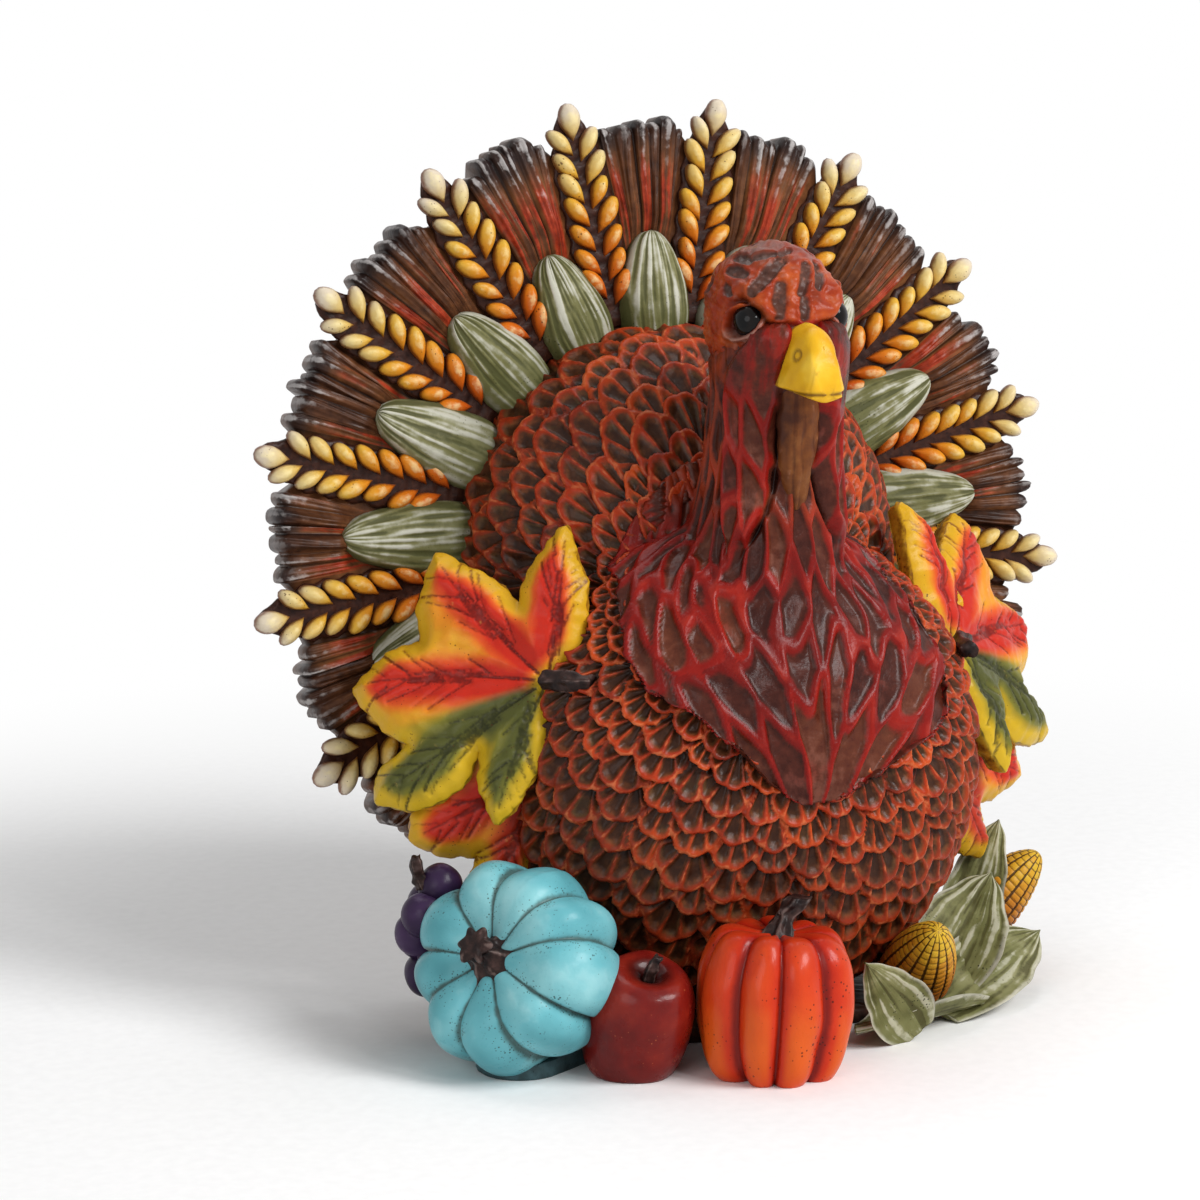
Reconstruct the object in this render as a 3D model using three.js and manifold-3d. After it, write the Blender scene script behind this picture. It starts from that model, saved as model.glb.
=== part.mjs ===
// Harvest turkey figure: a cast and painted resin table ornament. A leaning tail fan with wheat ears and
// husk feathers stands on a flat plinth behind a feathered bird, with maple leaves at its sides and a row of
// pumpkins, an apple, grapes and corn round its foot. Each casting is its own solid, glued to the next.
// Millimetres, +Z up, the bird looks along -Y, and the origin is the middle of the footprint.
import * as THREE from "three";
import { mergeVertices } from "three/addons/utils/BufferGeometryUtils.js";
import Module from "manifold-3d";

const wasm = await Module();
wasm.setup();

const point = (x, y, z) => new THREE.Vector3(x, y, z);
const degrees = THREE.MathUtils.degToRad;
const { lerp, smoothstep } = THREE.MathUtils;

// Glue line between neighbouring castings
const glueGap = 0.3;

// Plinth under everything
const plinthThickness = 4;
const plinthHalfWidth = 62;
const plinthHalfDepth = 41;
const plinthCentreY = -31;
const footShare = 0.4; // plinth disc under a fruit, against the fruit's radius

// Tail fan: a notched plate that leans back
const fanCentreHeight = 108;
const fanLean = degrees(9);
const fanThickness = 9;
const featherReachTop = 105.5; // longest feather ends, from the fan's centre
const featherReachSide = 101;
const featherRagged = 3; // how uneven the feather ends are
const valleyDrop = 8.5; // plate edge under the wheat ears, short of the longest feathers
const valleyReach = featherReachTop - valleyDrop;
const featherRelief = 5;
const backRelief = 2.5;
const backRootRadius = 56;
const tailFootHalfWidth = 34;
const lowerReach = 84; // plate edge below the last feathers, behind the body
const featherRootClear = 1; // from a husk feather's end to the ridges behind it
const ridgesPerFeather = 5;
const feathersPerSide = 6; // beside the middle one
const featherPitch = degrees(21.5);
const valleyHalfWidth = 7.6; // flat floor that carries one wheat ear

// Wheat ears, between the feathers
const earOverhang = 4.5; // ear tips past the longest feathers
const earReach = featherReachTop + earOverhang;
const earRootRadius = 54;
const kernelLength = 12;
const kernelWidth = 5.8;
const kernelHeight = 4.8;
const kernelPitch = 8.4;
const kernelSplay = degrees(27);
const tipKernelLength = 13;
const tipKernelWidth = 8;
const rachisWidth = 3.6;
const kernelEdge = 1.3; // how thick a kernel is at its rim

// Husk feathers, in front of the tail feathers
const huskFeathersPerSide = 5;
const huskShortTop = 29.5; // husk feathers end short of the tail feathers, most at the top of the fan
const huskShortSide = 15;
const huskReachTop = featherReachTop - huskShortTop;
const huskReachSide = featherReachSide - huskShortSide;
const huskRootRadius = 46;
const huskWidth = 20;
const huskHeight = 8;
const huskGroove = 0.7;
const huskRootShare = 0.76; // width where it runs in under the body

// Bird's body: the back dome and the breast, blended
const domeDrop = 4; // its middle below the fan's centre
const domeHeight = fanCentreHeight - domeDrop;
const domeY = -2;
const domeHalfWidth = 56;
const domeHalfDepth = 48.5;
const domeHalfHeight = 56;
const breastHeight = 63;
const breastY = -45;
const breastHalfWidth = 58.5;
const breastHalfDepth = 39.5;
const breastHalfHeight = 55;
const coreDrop = 1.5; // point between them that the feather rows turn about
const coreHeight = (domeHeight + breastHeight) / 2 - coreDrop;
const coreY = -34;
const bodyBlend = 12;
const featherRows = 9;
const scalesPerRow = 18;
const scaleRelief = 2.2;
const scaleRoom = 0.65; // further clearance over the feathers for what lies on them
const scaleWave = 0.3; // how far the feather tips reach past the row's line, against the row
const bareHeart = degrees(50); // smooth seat under the bib, round the chest axis
const rowsEnd = degrees(126); // last row, behind the leaves and under the harvest
const dome = {
  centre: point(0, domeY, domeHeight),
  radii: point(domeHalfWidth, domeHalfDepth, domeHalfHeight),
};
const breast = {
  centre: point(0, breastY, breastHeight),
  radii: point(breastHalfWidth, breastHalfDepth, breastHalfHeight),
};
const bodyCore = point(0, coreY, coreHeight);

// Bib and neck
const chestAxis = point(0, -0.78, 0.62).normalize();
const bibThickness = 5.4;
const bibHalfWidth = 38.5;
const bibTopRise = 27; // above the dome's middle
const bibTop = domeHeight + bibTopRise;
const bibTip = 57;
const bibDent = 1.5; // depth of the long dents between the ridges
const neckRise = 52;
const neckHeight = domeHeight + neckRise;
const neckChinRise = 7; // how much higher the neck runs up under the chin
const neckFootDrop = 12;
const neckFootHeight = domeHeight - neckFootDrop;
const neckY = -57;
const neckHalfWidth = 14.7;
const neckHalfDepth = 16.4;
const cheekFold = 2; // soft fold that hangs from each cheek
const cheekFoldTurn = degrees(44);
const cheekFoldHalf = degrees(26);

// Head, beak and eyes
const headRise = 65; // above the dome's middle
const headHeight = domeHeight + headRise;
const headY = -59;
const headHalfWidth = 15.5;
const headHalfLength = 17.5;
const headUp = 18.5;
const headDown = 20;
const headCentre = point(0, headY, headHeight);
const beakLength = 12.4; // past the face
const beakSink = 8;
const beakHalfWidth = 7.6;
const beakHeight = 16.6;
const beakRidge = 0.42; // width along the top, against the jaw
const beakDrop = 15.2; // jaw below the head's middle
const wattleLength = 31;
const wattleWidth = 10.4;
const wattleDepth = 3.2;
const wattleSink = 4.3;
const wattleDrop = 12; // its root below the head's middle
const eyeRadius = 3.6;
const eyeForward = 9.6;
const eyeRise = 1.5;
const eyeProud = 0.64;

// Maple leaves, an upper and a lower one on each side
const leafThickness = 7;
const leafBevel = 1.4;
const upperLeafSize = 1;
const lowerLeafSize = 0.86;
const leafStemLength = 10;
const leafStemRadius = 2.2;

// Harvest round the foot
const harvestForward = 94; // front fruit, ahead of the fan's foot
const bluePumpkinRadius = 25;
const bluePumpkinX = -69;
const bluePumpkinBehind = 24; // behind the front fruit
const bluePumpkinRise = 24.5; // height of its middle
const bluePumpkinSquat = 0.78;
const bluePumpkinRibs = 9;
const orangePumpkinRadius = 18.6;
const orangePumpkinX = -14.8;
const orangePumpkinRise = 17.7;
const orangePumpkinSquat = 1.06;
const orangePumpkinRibs = 9;
const pumpkinRibDepth = 0.13;
const stalkLength = 0.5; // pumpkin stems, against the pumpkin's radius
const stalkRadius = 0.15;
const appleRadius = 12.4;
const appleTall = 1.18;
const appleX = -45;
const appleBehind = 9;
const appleRise = 14.2;
const appleStemLength = 8;
const appleStemRadius = 1.3;
const grapeRadius = 5.2;
const grapesAside = 9.8; // top grape, from the blue pumpkin's middle
const grapesBehind = 23;
const grapesHeight = 39;
const grapeStemLength = 7;
const grapeStemRadius = 1.7;
const cornLength = 37;
const cornRadius = 9.4;
const cornRows = 10;
const cornHeapX = 40;
const cornHeapY = -66;
const cornHuskThickness = 2.6;

// Finish of each casting
const finish = (color, roughness = 0.45) =>
  new THREE.MeshStandardMaterial({ color, roughness, metalness: 0 });
const paint = {
  plinth: finish(0x3a241a, 0.6),
  tail: finish(0x4a2a1c),
  wheat: finish(0xe0a834),
  husk: finish(0x7f8455, 0.55),
  body: finish(0x6b2f1c),
  bib: finish(0x6e1c17, 0.38),
  head: finish(0xa8391f),
  beak: finish(0xe6ad17, 0.35),
  eye: finish(0x0c0c0d, 0.12),
  leaf: finish(0xe2932b, 0.42),
  stem: finish(0x2b1c17),
  bluePumpkin: finish(0x5db6c4, 0.36),
  orangePumpkin: finish(0xd2401a, 0.32),
  apple: finish(0x6e1512, 0.3),
  grape: finish(0x34203f, 0.34),
  corn: finish(0xc77a22),
};

// A closed surface through rings of points that turn anticlockwise about the way they advance
function skin(start, rings, end) {
  const sides = rings[0].length;
  const last = rings.length - 1;
  const at = (ring, side) => 1 + ring * sides + (side % sides);
  const endIndex = 1 + rings.length * sides;
  const index = [];
  for (let side = 0; side < sides; side++) {
    index.push(0, at(0, side + 1), at(0, side));
    for (let ring = 0; ring < last; ring++) {
      index.push(at(ring, side), at(ring, side + 1), at(ring + 1, side + 1));
      index.push(at(ring, side), at(ring + 1, side + 1), at(ring + 1, side));
    }
    index.push(endIndex, at(last, side), at(last, side + 1));
  }
  return new THREE.BufferGeometry().setFromPoints([start, ...rings.flat(), end]).setIndex(index);
}

// One ring of a loft: an ellipse in a plane square to local Z
function ellipse(centre, radiusX, radiusY, sides, swell = () => 1) {
  return Array.from({ length: sides }, (_, side) => {
    const turn = (side / sides) * 2 * Math.PI;
    const r = swell(turn);
    return point(centre.x + radiusX * r * Math.cos(turn), centre.y + radiusY * r * Math.sin(turn), centre.z);
  });
}

// Geometry to solid and back
function solidOf(geometry) {
  const bare = geometry.clone();
  bare.deleteAttribute("normal");
  bare.deleteAttribute("uv");
  const merged = mergeVertices(bare, 1e-4);
  const vertProperties = new Float32Array(merged.attributes.position.array);
  const triVerts = new Uint32Array(merged.index.array);
  return new wasm.Manifold(new wasm.Mesh({ numProp: 3, vertProperties, triVerts }));
}

function geometryOf(solid) {
  const mesh = solid.getMesh();
  const geometry = new THREE.BufferGeometry();
  geometry.setAttribute("position", new THREE.BufferAttribute(new Float32Array(mesh.vertProperties), 3));
  geometry.setIndex(new THREE.BufferAttribute(new Uint32Array(mesh.triVerts), 1));
  geometry.computeVertexNormals();
  return geometry;
}

// A local frame: its origin, the way its Z points and roughly which way its Y points
function frameAt(origin, zAxis, yHint) {
  const z = zAxis.clone().normalize();
  const x = yHint.clone().cross(z).normalize();
  const y = z.clone().cross(x);
  return new THREE.Matrix4().makeBasis(x, y, z).setPosition(origin);
}

const upward = point(0, 0, 1);
const backward = point(0, 1, 0);
const tailFrame = frameAt(
  point(0, 0, fanCentreHeight),
  point(0, -Math.cos(fanLean), Math.sin(fanLean)),
  upward,
);
const onTail = (angle) => tailFrame.clone().multiply(new THREE.Matrix4().makeRotationZ(-angle));

// Body: distance from the core to the smooth blend of the two ellipsoids, stopped by the fan's front
function wayOut(direction, ellipsoid) {
  const scaled = (v) => v.clone().divide(ellipsoid.radii);
  const from = scaled(bodyCore.clone().sub(ellipsoid.centre));
  const along = scaled(direction);
  const a = along.lengthSq();
  const b = from.dot(along);
  return (-b + Math.sqrt(b * b + a * (1 - from.lengthSq()))) / a;
}

const fanNormal = point(0, -Math.cos(fanLean), Math.sin(fanLean));
const coreToFan = bodyCore.clone().sub(point(0, 0, fanCentreHeight)).dot(fanNormal);

function toFan(direction) {
  const facing = direction.dot(fanNormal);
  return facing < 0 ? (glueGap - coreToFan) / facing : Infinity;
}

function toPlinth(direction) {
  const floor = plinthThickness + glueGap;
  return direction.z < 0 ? (floor - bodyCore.z) / direction.z : Infinity;
}

function bodyRadius(direction) {
  const rounds = [dome, breast].map((part) => wayOut(direction, part) ** bodyBlend);
  return (rounds[0] + rounds[1]) ** (1 / bodyBlend);
}

const bodyPoint = (direction, proud = 0) =>
  bodyCore.clone().addScaledVector(direction, bodyRadius(direction) + proud);

// Rows of overlapping feathers round the chest axis, every other row shifted by half a feather
const rowSpan = (rowsEnd - bareHeart) / featherRows;
const shiftOf = (row) => (row % 2 ? Math.PI : 0);

function bodyShape(grow) {
  const side = point(1, 0, 0);
  const up = chestAxis.clone().cross(side);
  const columns = scalesPerRow * 2;
  const surface = (tilt, turn, feathers) => {
    const direction = chestAxis
      .clone()
      .multiplyScalar(Math.cos(tilt))
      .addScaledVector(side, Math.sin(tilt) * Math.cos(turn))
      .addScaledVector(up, Math.sin(tilt) * Math.sin(turn));
    const free = bodyRadius(direction) + feathers + grow;
    const reach = grow ? free : Math.min(free, toFan(direction), toPlinth(direction));
    return bodyCore.clone().addScaledVector(direction, reach);
  };
  const ring = (tilt, wave, row, feathers) =>
    Array.from({ length: columns }, (_, i) => {
      const turn = (i / columns) * 2 * Math.PI;
      return surface(tilt + wave * Math.cos(turn * scalesPerRow + shiftOf(row)), turn, feathers);
    });
  // grown, the body is the smooth room its feathers take up
  const room = scaleRelief + scaleRoom;
  const rings = [ring(bareHeart * 0.5, 0, 0, 0), ring(bareHeart, 0, 0, grow ? room : 0)];
  for (let row = 0; row < featherRows; row++) {
    const end = bareHeart + (row + 1) * rowSpan;
    const wave = scaleWave * rowSpan;
    if (grow) rings.push(ring(end - 0.5 * rowSpan, 0, row, room), ring(end, 0, row, room));
    else rings.push(ring(end - 0.08 * rowSpan, wave, row, scaleRelief), ring(end, wave, row, 0));
  }
  for (const share of [0.4, 0.75]) rings.push(ring(lerp(rowsEnd, Math.PI, share), 0, 0, 0));
  return skin(surface(Math.PI, 0, 0), rings.toReversed(), surface(0, 0, 0));
}

// Tail fan: feathers are bundles of ridges that widen outwards, with flat valleys between for the ears
function fanShape(grow) {
  const halfAngle = (radius) => Math.max(0.02, featherPitch / 2 - valleyHalfWidth / radius);
  const backDrop = fanThickness * Math.sin(fanLean);
  const floorLine = (fanCentreHeight - plinthThickness - glueGap - backDrop) / Math.cos(fanLean);
  const columns = [];
  const steps = 2 * ridgesPerFeather;
  for (let feather = feathersPerSide; feather >= -feathersPerSide; feather--) {
    const lie = Math.sin((feather * featherPitch) / 2) ** 2 * 1.2;
    for (let step = 0; step <= steps; step++) {
      const atSide = step === 0 || step === steps;
      const ragged = featherRagged * (0.5 + 0.5 * Math.sin(12.9 * step + 7.3 * feather));
      columns.push({
        angleAt: (radius) => feather * featherPitch + (1 - (2 * step) / steps) * halfAngle(radius),
        reach: atSide ? valleyReach : lerp(featherReachTop, featherReachSide, lie) - ragged,
        ridge: atSide ? 0 : step % 2 ? 1 : 0.4,
        root: huskReach(feather * featherPitch) + featherRootClear,
      });
    }
  }
  const lastAngle = columns[columns.length - 1].angleAt(valleyReach);
  const lowerColumns = 10;
  for (let i = 1; i < lowerColumns; i++) {
    const angle = lastAngle - (i / lowerColumns) * 2 * (Math.PI + lastAngle);
    const onFoot = Math.abs(Math.tan(angle)) * floorLine < tailFootHalfWidth;
    const reach = onFoot ? 2 * floorLine : lowerReach;
    columns.push({ angleAt: () => angle, reach, ridge: 0, root: backRootRadius });
  }
  const edge = (column, radius) => {
    const down = -Math.cos(column.angleAt(radius));
    return Math.min(radius, down > 0.2 ? floorLine / down : radius);
  };
  const ring = (share, heightOf, root = Infinity) =>
    columns.map((column) => {
      const rim = edge(column, column.reach + grow);
      const radius = lerp(Math.min(column.root, root, rim), rim, share);
      const angle = column.angleAt(radius);
      return point(radius * Math.sin(angle), radius * Math.cos(angle), heightOf(column, share));
    });
  const front = (column, share) => featherRelief * column.ridge * smoothstep(share, 0, 0.4) + grow;
  const back = (column, share) => -fanThickness - backRelief * column.ridge * smoothstep(share, 0, 0.6);
  const rimBack = (column) => -fanThickness * 0.6 - backRelief * column.ridge * 0.4;
  const rings = [ring(0, back, backRootRadius), ring(0.85, back, backRootRadius), ring(1, rimBack)];
  rings.push(...[1, 0.4, 0].map((share) => ring(share, front)));
  return skin(point(0, 0, -fanThickness), rings, point(0, 0, grow));
}

// A wheat ear along local Y, flat at the back: barbed on both sides, each kernel a small roof with its own
// crest, and one larger kernel at the tip
function earShape() {
  const seat = glueGap;
  const brim = seat + kernelEdge;
  const crest = seat + kernelHeight;
  const crownStart = earReach - tipKernelLength;
  const pairs = Math.floor((crownStart - earRootRadius) / kernelPitch);
  const rootAt = crownStart - pairs * kernelPitch;
  const roofs = [];
  const sideOutline = (side) => {
    const rim = [];
    for (let pair = 0; pair < pairs; pair++) {
      const foot = rootAt + pair * kernelPitch;
      const along = (share, out) =>
        point(
          side *
            (rachisWidth / 2 + share * kernelLength * Math.sin(kernelSplay) + out * Math.cos(kernelSplay)),
          foot + share * kernelLength * Math.cos(kernelSplay) - out * Math.sin(kernelSplay),
          brim,
        );
      const notch = point((side * rachisWidth) / 2, foot, brim);
      const belly = along(0.5, kernelWidth * 0.42);
      const end = along(1, 0);
      const next = point((side * rachisWidth) / 2, foot + kernelPitch, brim);
      const spine = [foot, foot + kernelPitch].map((y) => point(0, y, brim));
      const low = along(0.3, 0.1 * kernelWidth).setZ(crest);
      const high = along(0.66, 0.06 * kernelWidth).setZ(crest - kernelEdge * 0.3);
      const faces = [
        [spine[0], notch, low],
        [notch, belly, low],
        [belly, high, low],
        [belly, end, high],
        [end, next, high],
        [next, low, high],
        [next, spine[1], low],
        [spine[1], spine[0], low],
      ];
      for (const face of faces) roofs.push(side > 0 ? face : face.toReversed());
      rim.push(notch, belly, end);
    }
    return rim;
  };
  const right = sideOutline(1);
  const left = sideOutline(-1);
  const half = tipKernelWidth / 2;
  const neck = [1, -1].map((side) => point((side * rachisWidth) / 2, crownStart, brim));
  const bulge = (side, out, share) => point(side * half * out, crownStart + tipKernelLength * share, brim);
  const shoulder = [1, -1].map((side) => [
    bulge(side, 0.92, 0.3),
    bulge(side, 1, 0.6),
    bulge(side, 0.55, 0.88),
  ]);
  const summit = point(0, earReach, brim);
  const tipRim = [neck[0], ...shoulder[0], summit, ...shoulder[1].toReversed(), neck[1]];
  const crown = [...tipRim, point(0, crownStart, brim)];
  const top = point(0, crownStart + tipKernelLength * 0.45, crest);
  crown.forEach((corner, i) => roofs.push([corner, crown[(i + 1) % crown.length], top]));
  const rim = [...right, ...tipRim, ...left.toReversed()];
  const footSpine = point(0, rootAt, brim);
  rim.push(footSpine);
  rim.forEach((corner, i) => {
    const next = rim[(i + 1) % rim.length];
    const [below, belowNext] = [corner, next].map((v) => v.clone().setZ(seat));
    roofs.push([below, belowNext, next], [below, next, corner]);
  });
  const flat = rim.map((v) => new THREE.Vector2(v.x, v.y));
  for (const [i, j, k] of THREE.ShapeUtils.triangulateShape(flat, [])) {
    roofs.push([rim[i], rim[k], rim[j]].map((v) => v.clone().setZ(seat)));
  }
  return new THREE.BufferGeometry().setFromPoints(roofs.flat());
}

// The space one ear takes up, for whatever stands close to it
function earRoom(grow) {
  const halfWidth = rachisWidth / 2 + kernelLength * Math.sin(kernelSplay) + grow;
  const roomLength = earReach - earRootRadius + 2 * grow;
  const room = new THREE.BoxGeometry(2 * halfWidth, roomLength, kernelHeight + 2 * grow);
  return room.translate(0, (earReach + earRootRadius) / 2, glueGap + kernelHeight / 2);
}

// Husk feathers are longer at the sides of the fan
const huskReach = (angle) => lerp(huskReachTop, huskReachSide, Math.sin(angle) ** 4);

// A husk feather along local Y: a grooved almond that swells off the plate and runs in under the body
function huskFeatherShape(angle, grow) {
  const reach = huskReach(angle);
  const shares = [0, 0.3, 0.55, 0.76, 0.92];
  const sides = 10;
  const seat = glueGap - grow;
  const ringAt = (share) => {
    const fullness = Math.sqrt(1 - share ** 2.7) * lerp(huskRootShare, 1, smoothstep(share, 0, 0.36));
    const along = lerp(huskRootRadius, reach, share);
    return Array.from({ length: sides }, (_, i) => {
      const turn = (i / sides) * 2 * Math.PI;
      const groove = i % 2 ? huskGroove : 0;
      const halfWidth = (huskWidth / 2) * fullness + grow;
      const height = huskHeight * (0.45 + 0.55 * fullness) + grow - groove;
      const rise = seat + Math.max(0, Math.cos(turn)) ** 0.7 * (height - seat);
      return point(halfWidth * Math.sin(turn), along, rise);
    });
  };
  return skin(
    point(0, huskRootRadius - grow, (seat + huskHeight) / 3),
    shares.map(ringAt),
    point(0, reach + grow, (seat + huskHeight) / 3),
  );
}

// Neck section at a height: half width, half depth and middle
function neckAt(z, grow) {
  const sections = [
    { at: 0, half: 1.58, y: 5 },
    { at: 0.2, half: 1.4, y: 3.5 },
    { at: 0.4, half: 1.22, y: 2 },
    { at: 0.6, half: 1.05, y: 1 },
    { at: 0.76, half: 1, y: 0 },
    { at: 1, half: 1.03, y: -1.2 },
  ];
  const rise = (z - neckFootHeight) / (neckHeight - neckFootHeight);
  const next = Math.max(1, sections.findIndex(({ at }) => at >= rise));
  const upper = rise > 1 ? sections.length - 1 : next;
  const [low, high] = [sections[upper - 1], sections[upper]];
  const share = Math.min(1, (rise - low.at) / (high.at - low.at));
  const half = lerp(low.half, high.half, share);
  return {
    halfWidth: neckHalfWidth * half + grow,
    halfDepth: neckHalfDepth * half + grow,
    y: neckY + lerp(low.y, high.y, share),
  };
}

// Bib edge from its tip up to the neck: height, reach to the left and to the right, as shares
const bibEdges = [
  [0.08, 0.3, 0.46],
  [0.19, 0.49, 0.83],
  [0.31, 0.66, 1],
  [0.43, 0.95, 1],
  [0.55, 1, 0.9],
  [0.68, 0.91, 0.74],
  [0.8, 0.75, 0.58],
  [0.9, 0.56, 0.48],
];
const bibColumns = 15;
const neckRings = 5;

// One loft: the bib lies on the breast, narrows into the neck and runs up to the cheeks. Every other point
// of the lattice is pressed in, which makes long dents with ridges between them
function bibShape(grow) {
  const thickness = bibThickness + grow;
  const frontOf = (x, z) => {
    const fronts = [dome, breast].map(({ centre, radii }) => {
      const left = 1 - (x / (radii.x + thickness)) ** 2 - ((z - centre.z) / (radii.z + thickness)) ** 2;
      return left > 0 ? centre.y - (radii.y + thickness) * Math.sqrt(left) : Infinity;
    });
    const neck = neckAt(z, grow);
    const inNeck = 1 - (x / neck.halfWidth) ** 2;
    return Math.min(...fronts, inNeck > 0 ? neck.y - neck.halfDepth * Math.sqrt(inNeck) : Infinity, neck.y);
  };
  const pressed = (ring, column) => (!grow && (ring + column) % 2 ? bibDent : 0);
  const onFront = (column) => (2 * column) / (bibColumns - 1) - 1;
  const backShares = [0.8, 0.4, 0, -0.4, -0.8];
  const rings = bibEdges.map(([rise, left, right], ring) => {
    const z = lerp(bibTip, bibTop, rise);
    const front = Array.from({ length: bibColumns }, (_, column) => {
      const across = onFront(column);
      const x = across * (bibHalfWidth * (across < 0 ? left : right) + grow);
      const atEdge = Math.abs(across) === 1;
      return point(x, frontOf(x, z) + (atEdge ? 0 : pressed(ring, column)), z);
    });
    const back = backShares.map((share) =>
      point(share * bibHalfWidth * (share < 0 ? left : right), lerp(neckY, coreY, 0.5), z),
    );
    return [...front, ...back];
  });
  for (let i = 0; i <= neckRings; i++) {
    const share = i / neckRings;
    const base = lerp(bibTop, neckHeight, share);
    const neck = neckAt(base, grow);
    const turnTo = (turn, out) => {
      const chin = neckChinRise * smoothstep(Math.cos(turn), -0.2, 1) + (i === neckRings ? grow : 0);
      const x = (neck.halfWidth + out) * Math.sin(turn);
      const y = neck.y - (neck.halfDepth + out) * Math.cos(turn);
      return point(x, y, base + share * chin);
    };
    const front = Array.from({ length: bibColumns }, (_, column) => {
      const turn = onFront(column) * degrees(100);
      const fold = Math.max(0, 1 - Math.abs(Math.abs(turn) - cheekFoldTurn) / cheekFoldHalf);
      const onThroat = Math.abs(turn) < degrees(18);
      const dent = onThroat || i === neckRings ? 0 : pressed(bibEdges.length + i, column);
      return turnTo(turn, cheekFold * fold - 0.7 * dent);
    });
    rings.push([...front, ...backShares.map((share) => turnTo(Math.PI - share * degrees(70), 0))]);
  }
  const topZ = neckHeight + neckChinRise * 0.5 + grow;
  return skin(point(0, frontOf(0, bibTip) + 1, bibTip - grow), rings, point(0, neckY, topZ));
}

// Head: rings from the throat over the cheeks to the crown, about the head's own centre
function headShape(grow) {
  const sides = 16;
  const sections = [
    { z: -1, x: 0.74, y: 0.72, shift: 2 },
    { z: -0.6, x: 0.84, y: 0.82, shift: 1 },
    { z: -0.2, x: 0.96, y: 0.97, shift: -0.5 },
    { z: 0.2, x: 1, y: 1, shift: -1 },
    { z: 0.55, x: 0.86, y: 0.86, shift: -0.5 },
    { z: 0.83, x: 0.56, y: 0.56, shift: 0.5 },
    { z: 0.97, x: 0.22, y: 0.22, shift: 1 },
  ];
  const heightAt = (z) => (z > 0 ? z * headUp : z * headDown);
  const rings = sections.map(({ z, x, y, shift }) =>
    ellipse(point(0, shift, heightAt(z)), headHalfWidth * x + grow, headHalfLength * y + grow, sides),
  );
  return skin(point(0, sections[0].shift, -headDown - grow), rings, point(0, 1, headUp + grow));
}

// Beak along local Z from inside the head: broad at the jaw, narrow along its ridge, with a blunt end
function beakShape(grow) {
  const sides = 14;
  const sections = [
    { at: -beakSink, half: 1, top: 1.02 },
    { at: 0, half: 1, top: 1 },
    { at: beakLength * 0.6, half: 0.86, top: 0.93 },
    { at: beakLength * 0.86, half: 0.65, top: 0.68 },
    { at: beakLength * 0.98, half: 0.42, top: 0.38 },
  ];
  const rings = sections.map(({ at, half, top }) =>
    Array.from({ length: sides }, (_, side) => {
      const turn = (side / sides) * 2 * Math.PI;
      const level = (1 + Math.sign(Math.sin(turn)) * Math.abs(Math.sin(turn)) ** 0.7) / 2;
      const halfWidth = beakHalfWidth * half * lerp(1, beakRidge, level ** 1.25) + grow;
      return point(halfWidth * Math.cos(turn), lerp(-grow, beakHeight * top + grow, level), at);
    }),
  );
  const middle = beakHeight * 0.4;
  return skin(point(0, middle, -beakSink - grow), rings, point(0, beakHeight * 0.16, beakLength + grow));
}

// Wattle along local Z: a flat flap from the chin down the throat
function wattleShape(grow) {
  const sections = [
    { at: 0, half: 1, deep: 1 },
    { at: 0.35, half: 1, deep: 1 },
    { at: 0.7, half: 0.78, deep: 0.9 },
    { at: 0.93, half: 0.4, deep: 0.7 },
  ];
  const rings = sections.map(({ at, half, deep }) =>
    ellipse(
      point(0, 0, at * wattleLength),
      (wattleWidth / 2) * half + grow,
      wattleDepth * deep + grow,
      10,
    ),
  );
  return skin(point(0, 0, -grow), rings, point(0, 0, wattleLength + grow));
}

function ballShape(radius, across, down) {
  return new THREE.SphereGeometry(radius, across, down);
}

// Maple leaf outline with its stem joint at the origin and its lobes towards -X
function leafOutline(size) {
  const at = (x, y) => [x * size, y * size];
  const shape = new THREE.Shape();
  const edges = [
    // belly before the tip, tip, belly after it, next notch
    [at(11, 10), at(9, 20), at(0, 37), at(-9, 30), at(-9.5, 18)],
    [at(-14, 22), at(-24, 27), at(-32, 28.5), at(-36, 16), at(-33, 7)],
    [at(-38, 6), at(-44, 2), at(-48, -5), at(-42, -15), at(-32, -17)],
    [at(-38, -22), at(-41, -26), at(-38.5, -32), at(-18, -35), at(-15, -17)],
    [at(-14, -24), at(-13, -31), at(-8, -34), at(4, -22), at(0, 0)],
  ];
  shape.moveTo(0, 0);
  for (const [rise, beforeTip, tip, afterTip, notch] of edges) {
    shape.bezierCurveTo(...rise, ...beforeTip, ...tip);
    shape.quadraticCurveTo(...afterTip, ...notch);
  }
  return shape;
}

function leafShape(size) {
  const options = { depth: leafThickness - 2 * leafBevel, curveSegments: 3, bevelSegments: 1 };
  const bevel = { bevelSize: leafBevel, bevelThickness: leafBevel, bevelOffset: -leafBevel };
  return new THREE.ExtrudeGeometry(leafOutline(size), { ...options, ...bevel }).translate(
    0,
    0,
    leafBevel - leafThickness,
  );
}

function twigShape(length, radius) {
  const sides = 6;
  const rings = [0, 0.4, 1].map((at) => {
    const girth = radius * (1.1 - 0.3 * at);
    return ellipse(point(at * at * radius, 0, at * length), girth, girth, sides);
  });
  return skin(point(0, 0, 0), rings, point(radius, 0, length));
}

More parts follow.
